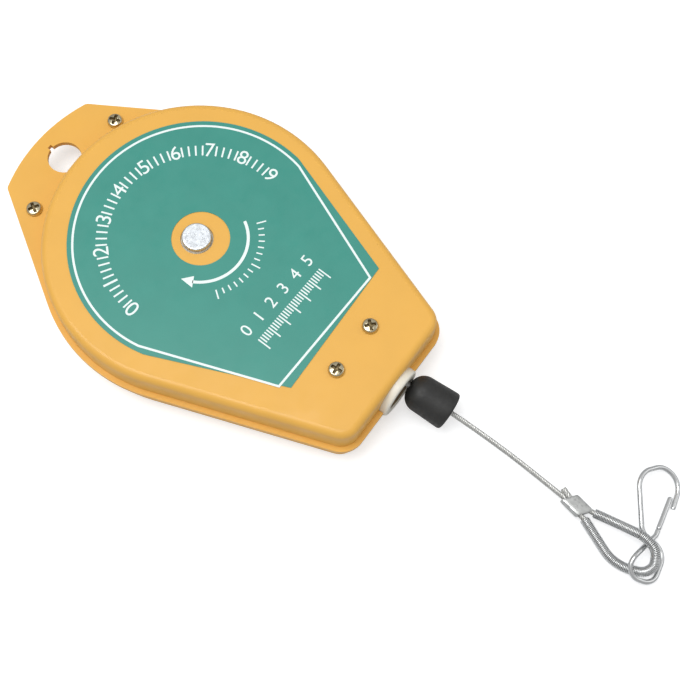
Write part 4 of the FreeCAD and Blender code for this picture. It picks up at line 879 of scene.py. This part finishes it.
def label_print():
    """All the white print, drawn flat on the label and given its thickness."""
    shape = bmesh.new()
    add_border(shape)
    add_arrow(shape)
    add_dial(shape)
    add_ruler(shape)
    raised = bmesh.ops.extrude_face_region(shape, geom=shape.faces[:])["geom"]
    bmesh.ops.translate(shape, vec=(0.0, 0.0, PRINT_DEPTH),
                        verts=only(bmesh.types.BMVert, raised))
    for number in range(DIAL_MARKS + 1):
        angle = DIAL_START - number * (DIAL_START - DIAL_END) / DIAL_MARKS
        place = on_circle(DIAL_DIGIT_RADIUS, math.radians(angle))
        add_digits(shape, str(number), DIAL_DIGIT, place.x, place.y, angle - 90.0)
    for number in range(RULER_MARKS + 1):
        x = RULER_LEFT + number * RULER_SPACING
        add_digits(shape, str(number), RULER_DIGIT, x, RULER_DIGIT_Y)
    bmesh.ops.transform(shape, matrix=LABEL_PLACE, verts=shape.verts)
    return shape


add_piece("label_print", label_print(), white, "case", crease=30.0)

# ---- floor, light and background -----------------------------------------------------------


def add_floor():
    """A pale floor that keeps the shadow and looks white straight to the camera."""
    shape = bmesh.new()
    bmesh.ops.create_grid(shape, x_segments=1, y_segments=1, size=3.0)
    mesh = bpy.data.meshes.new("floor")
    shape.to_mesh(mesh)
    shape.free()
    floor = bpy.data.objects.new("floor", mesh)
    bpy.context.scene.collection.objects.link(floor)
    paint = bpy.data.materials.new("floor_white")
    paint.use_nodes = True
    tree = paint.node_tree
    shader = tree.nodes["Principled BSDF"]
    shader.inputs["Base Color"].default_value = (0.66, 0.67, 0.68, 1.0)
    shader.inputs["Roughness"].default_value = 0.9
    shader.inputs["Specular IOR Level"].default_value = 0.2
    shader.inputs["Emission Color"].default_value = (1.0, 1.0, 1.0, 1.0)
    path = tree.nodes.new("ShaderNodeLightPath")
    lift = tree.nodes.new("ShaderNodeMath")
    lift.operation = "MULTIPLY"
    lift.inputs[1].default_value = 0.52
    tree.links.new(path.outputs["Is Camera Ray"], lift.inputs[0])
    tree.links.new(lift.outputs["Value"], shader.inputs["Emission Strength"])
    mesh.materials.append(paint)


def add_studio():
    """Soft light from all round, brighter from above, and white to the camera."""
    world = bpy.data.worlds.new("studio")
    bpy.context.scene.world = world
    world.use_nodes = True
    tree = world.node_tree
    sky = tree.nodes["Background"]
    sky.inputs["Strength"].default_value = 1.0
    coords = tree.nodes.new("ShaderNodeTexCoord")
    split = tree.nodes.new("ShaderNodeSeparateXYZ")
    tree.links.new(coords.outputs["Generated"], split.inputs["Vector"])
    shade = two_stop_ramp(tree, split.outputs["Z"], (0.0, (0.24, 0.24, 0.25, 1.0)),
                          (0.75, (0.60, 0.60, 0.60, 1.0)))
    path = tree.nodes.new("ShaderNodeLightPath")
    pick = tree.nodes.new("ShaderNodeMix")
    pick.data_type = "RGBA"
    pick.inputs["B"].default_value = (1.0, 1.0, 1.0, 1.0)
    tree.links.new(path.outputs["Is Camera Ray"], pick.inputs["Factor"])
    tree.links.new(shade, pick.inputs["A"])
    tree.links.new(pick.outputs["Result"], sky.inputs["Color"])


def area_light(name, place, size, power):
    """A soft box that faces the middle of the part. Places and sizes are in metres."""
    lamp = bpy.data.lights.new(name, "AREA")
    lamp.shape = "RECTANGLE"
    lamp.size, lamp.size_y = size
    lamp.energy = power
    holder = bpy.data.objects.new(name, lamp)
    bpy.context.scene.collection.objects.link(holder)
    holder.location = place
    aim = Vector((0.0, -0.05, 0.0)) - Vector(place)
    holder.rotation_euler = aim.to_track_quat("-Z", "Y").to_euler()


add_floor()
add_studio()
area_light("key_light", (-0.25, 0.2, 1.3), (0.7, 0.9), 10.6)
area_light("fill_light", (0.9, -0.9, 0.8), (0.8, 0.6), 1.6)

bpy.context.scene.view_settings.view_transform = "Standard"
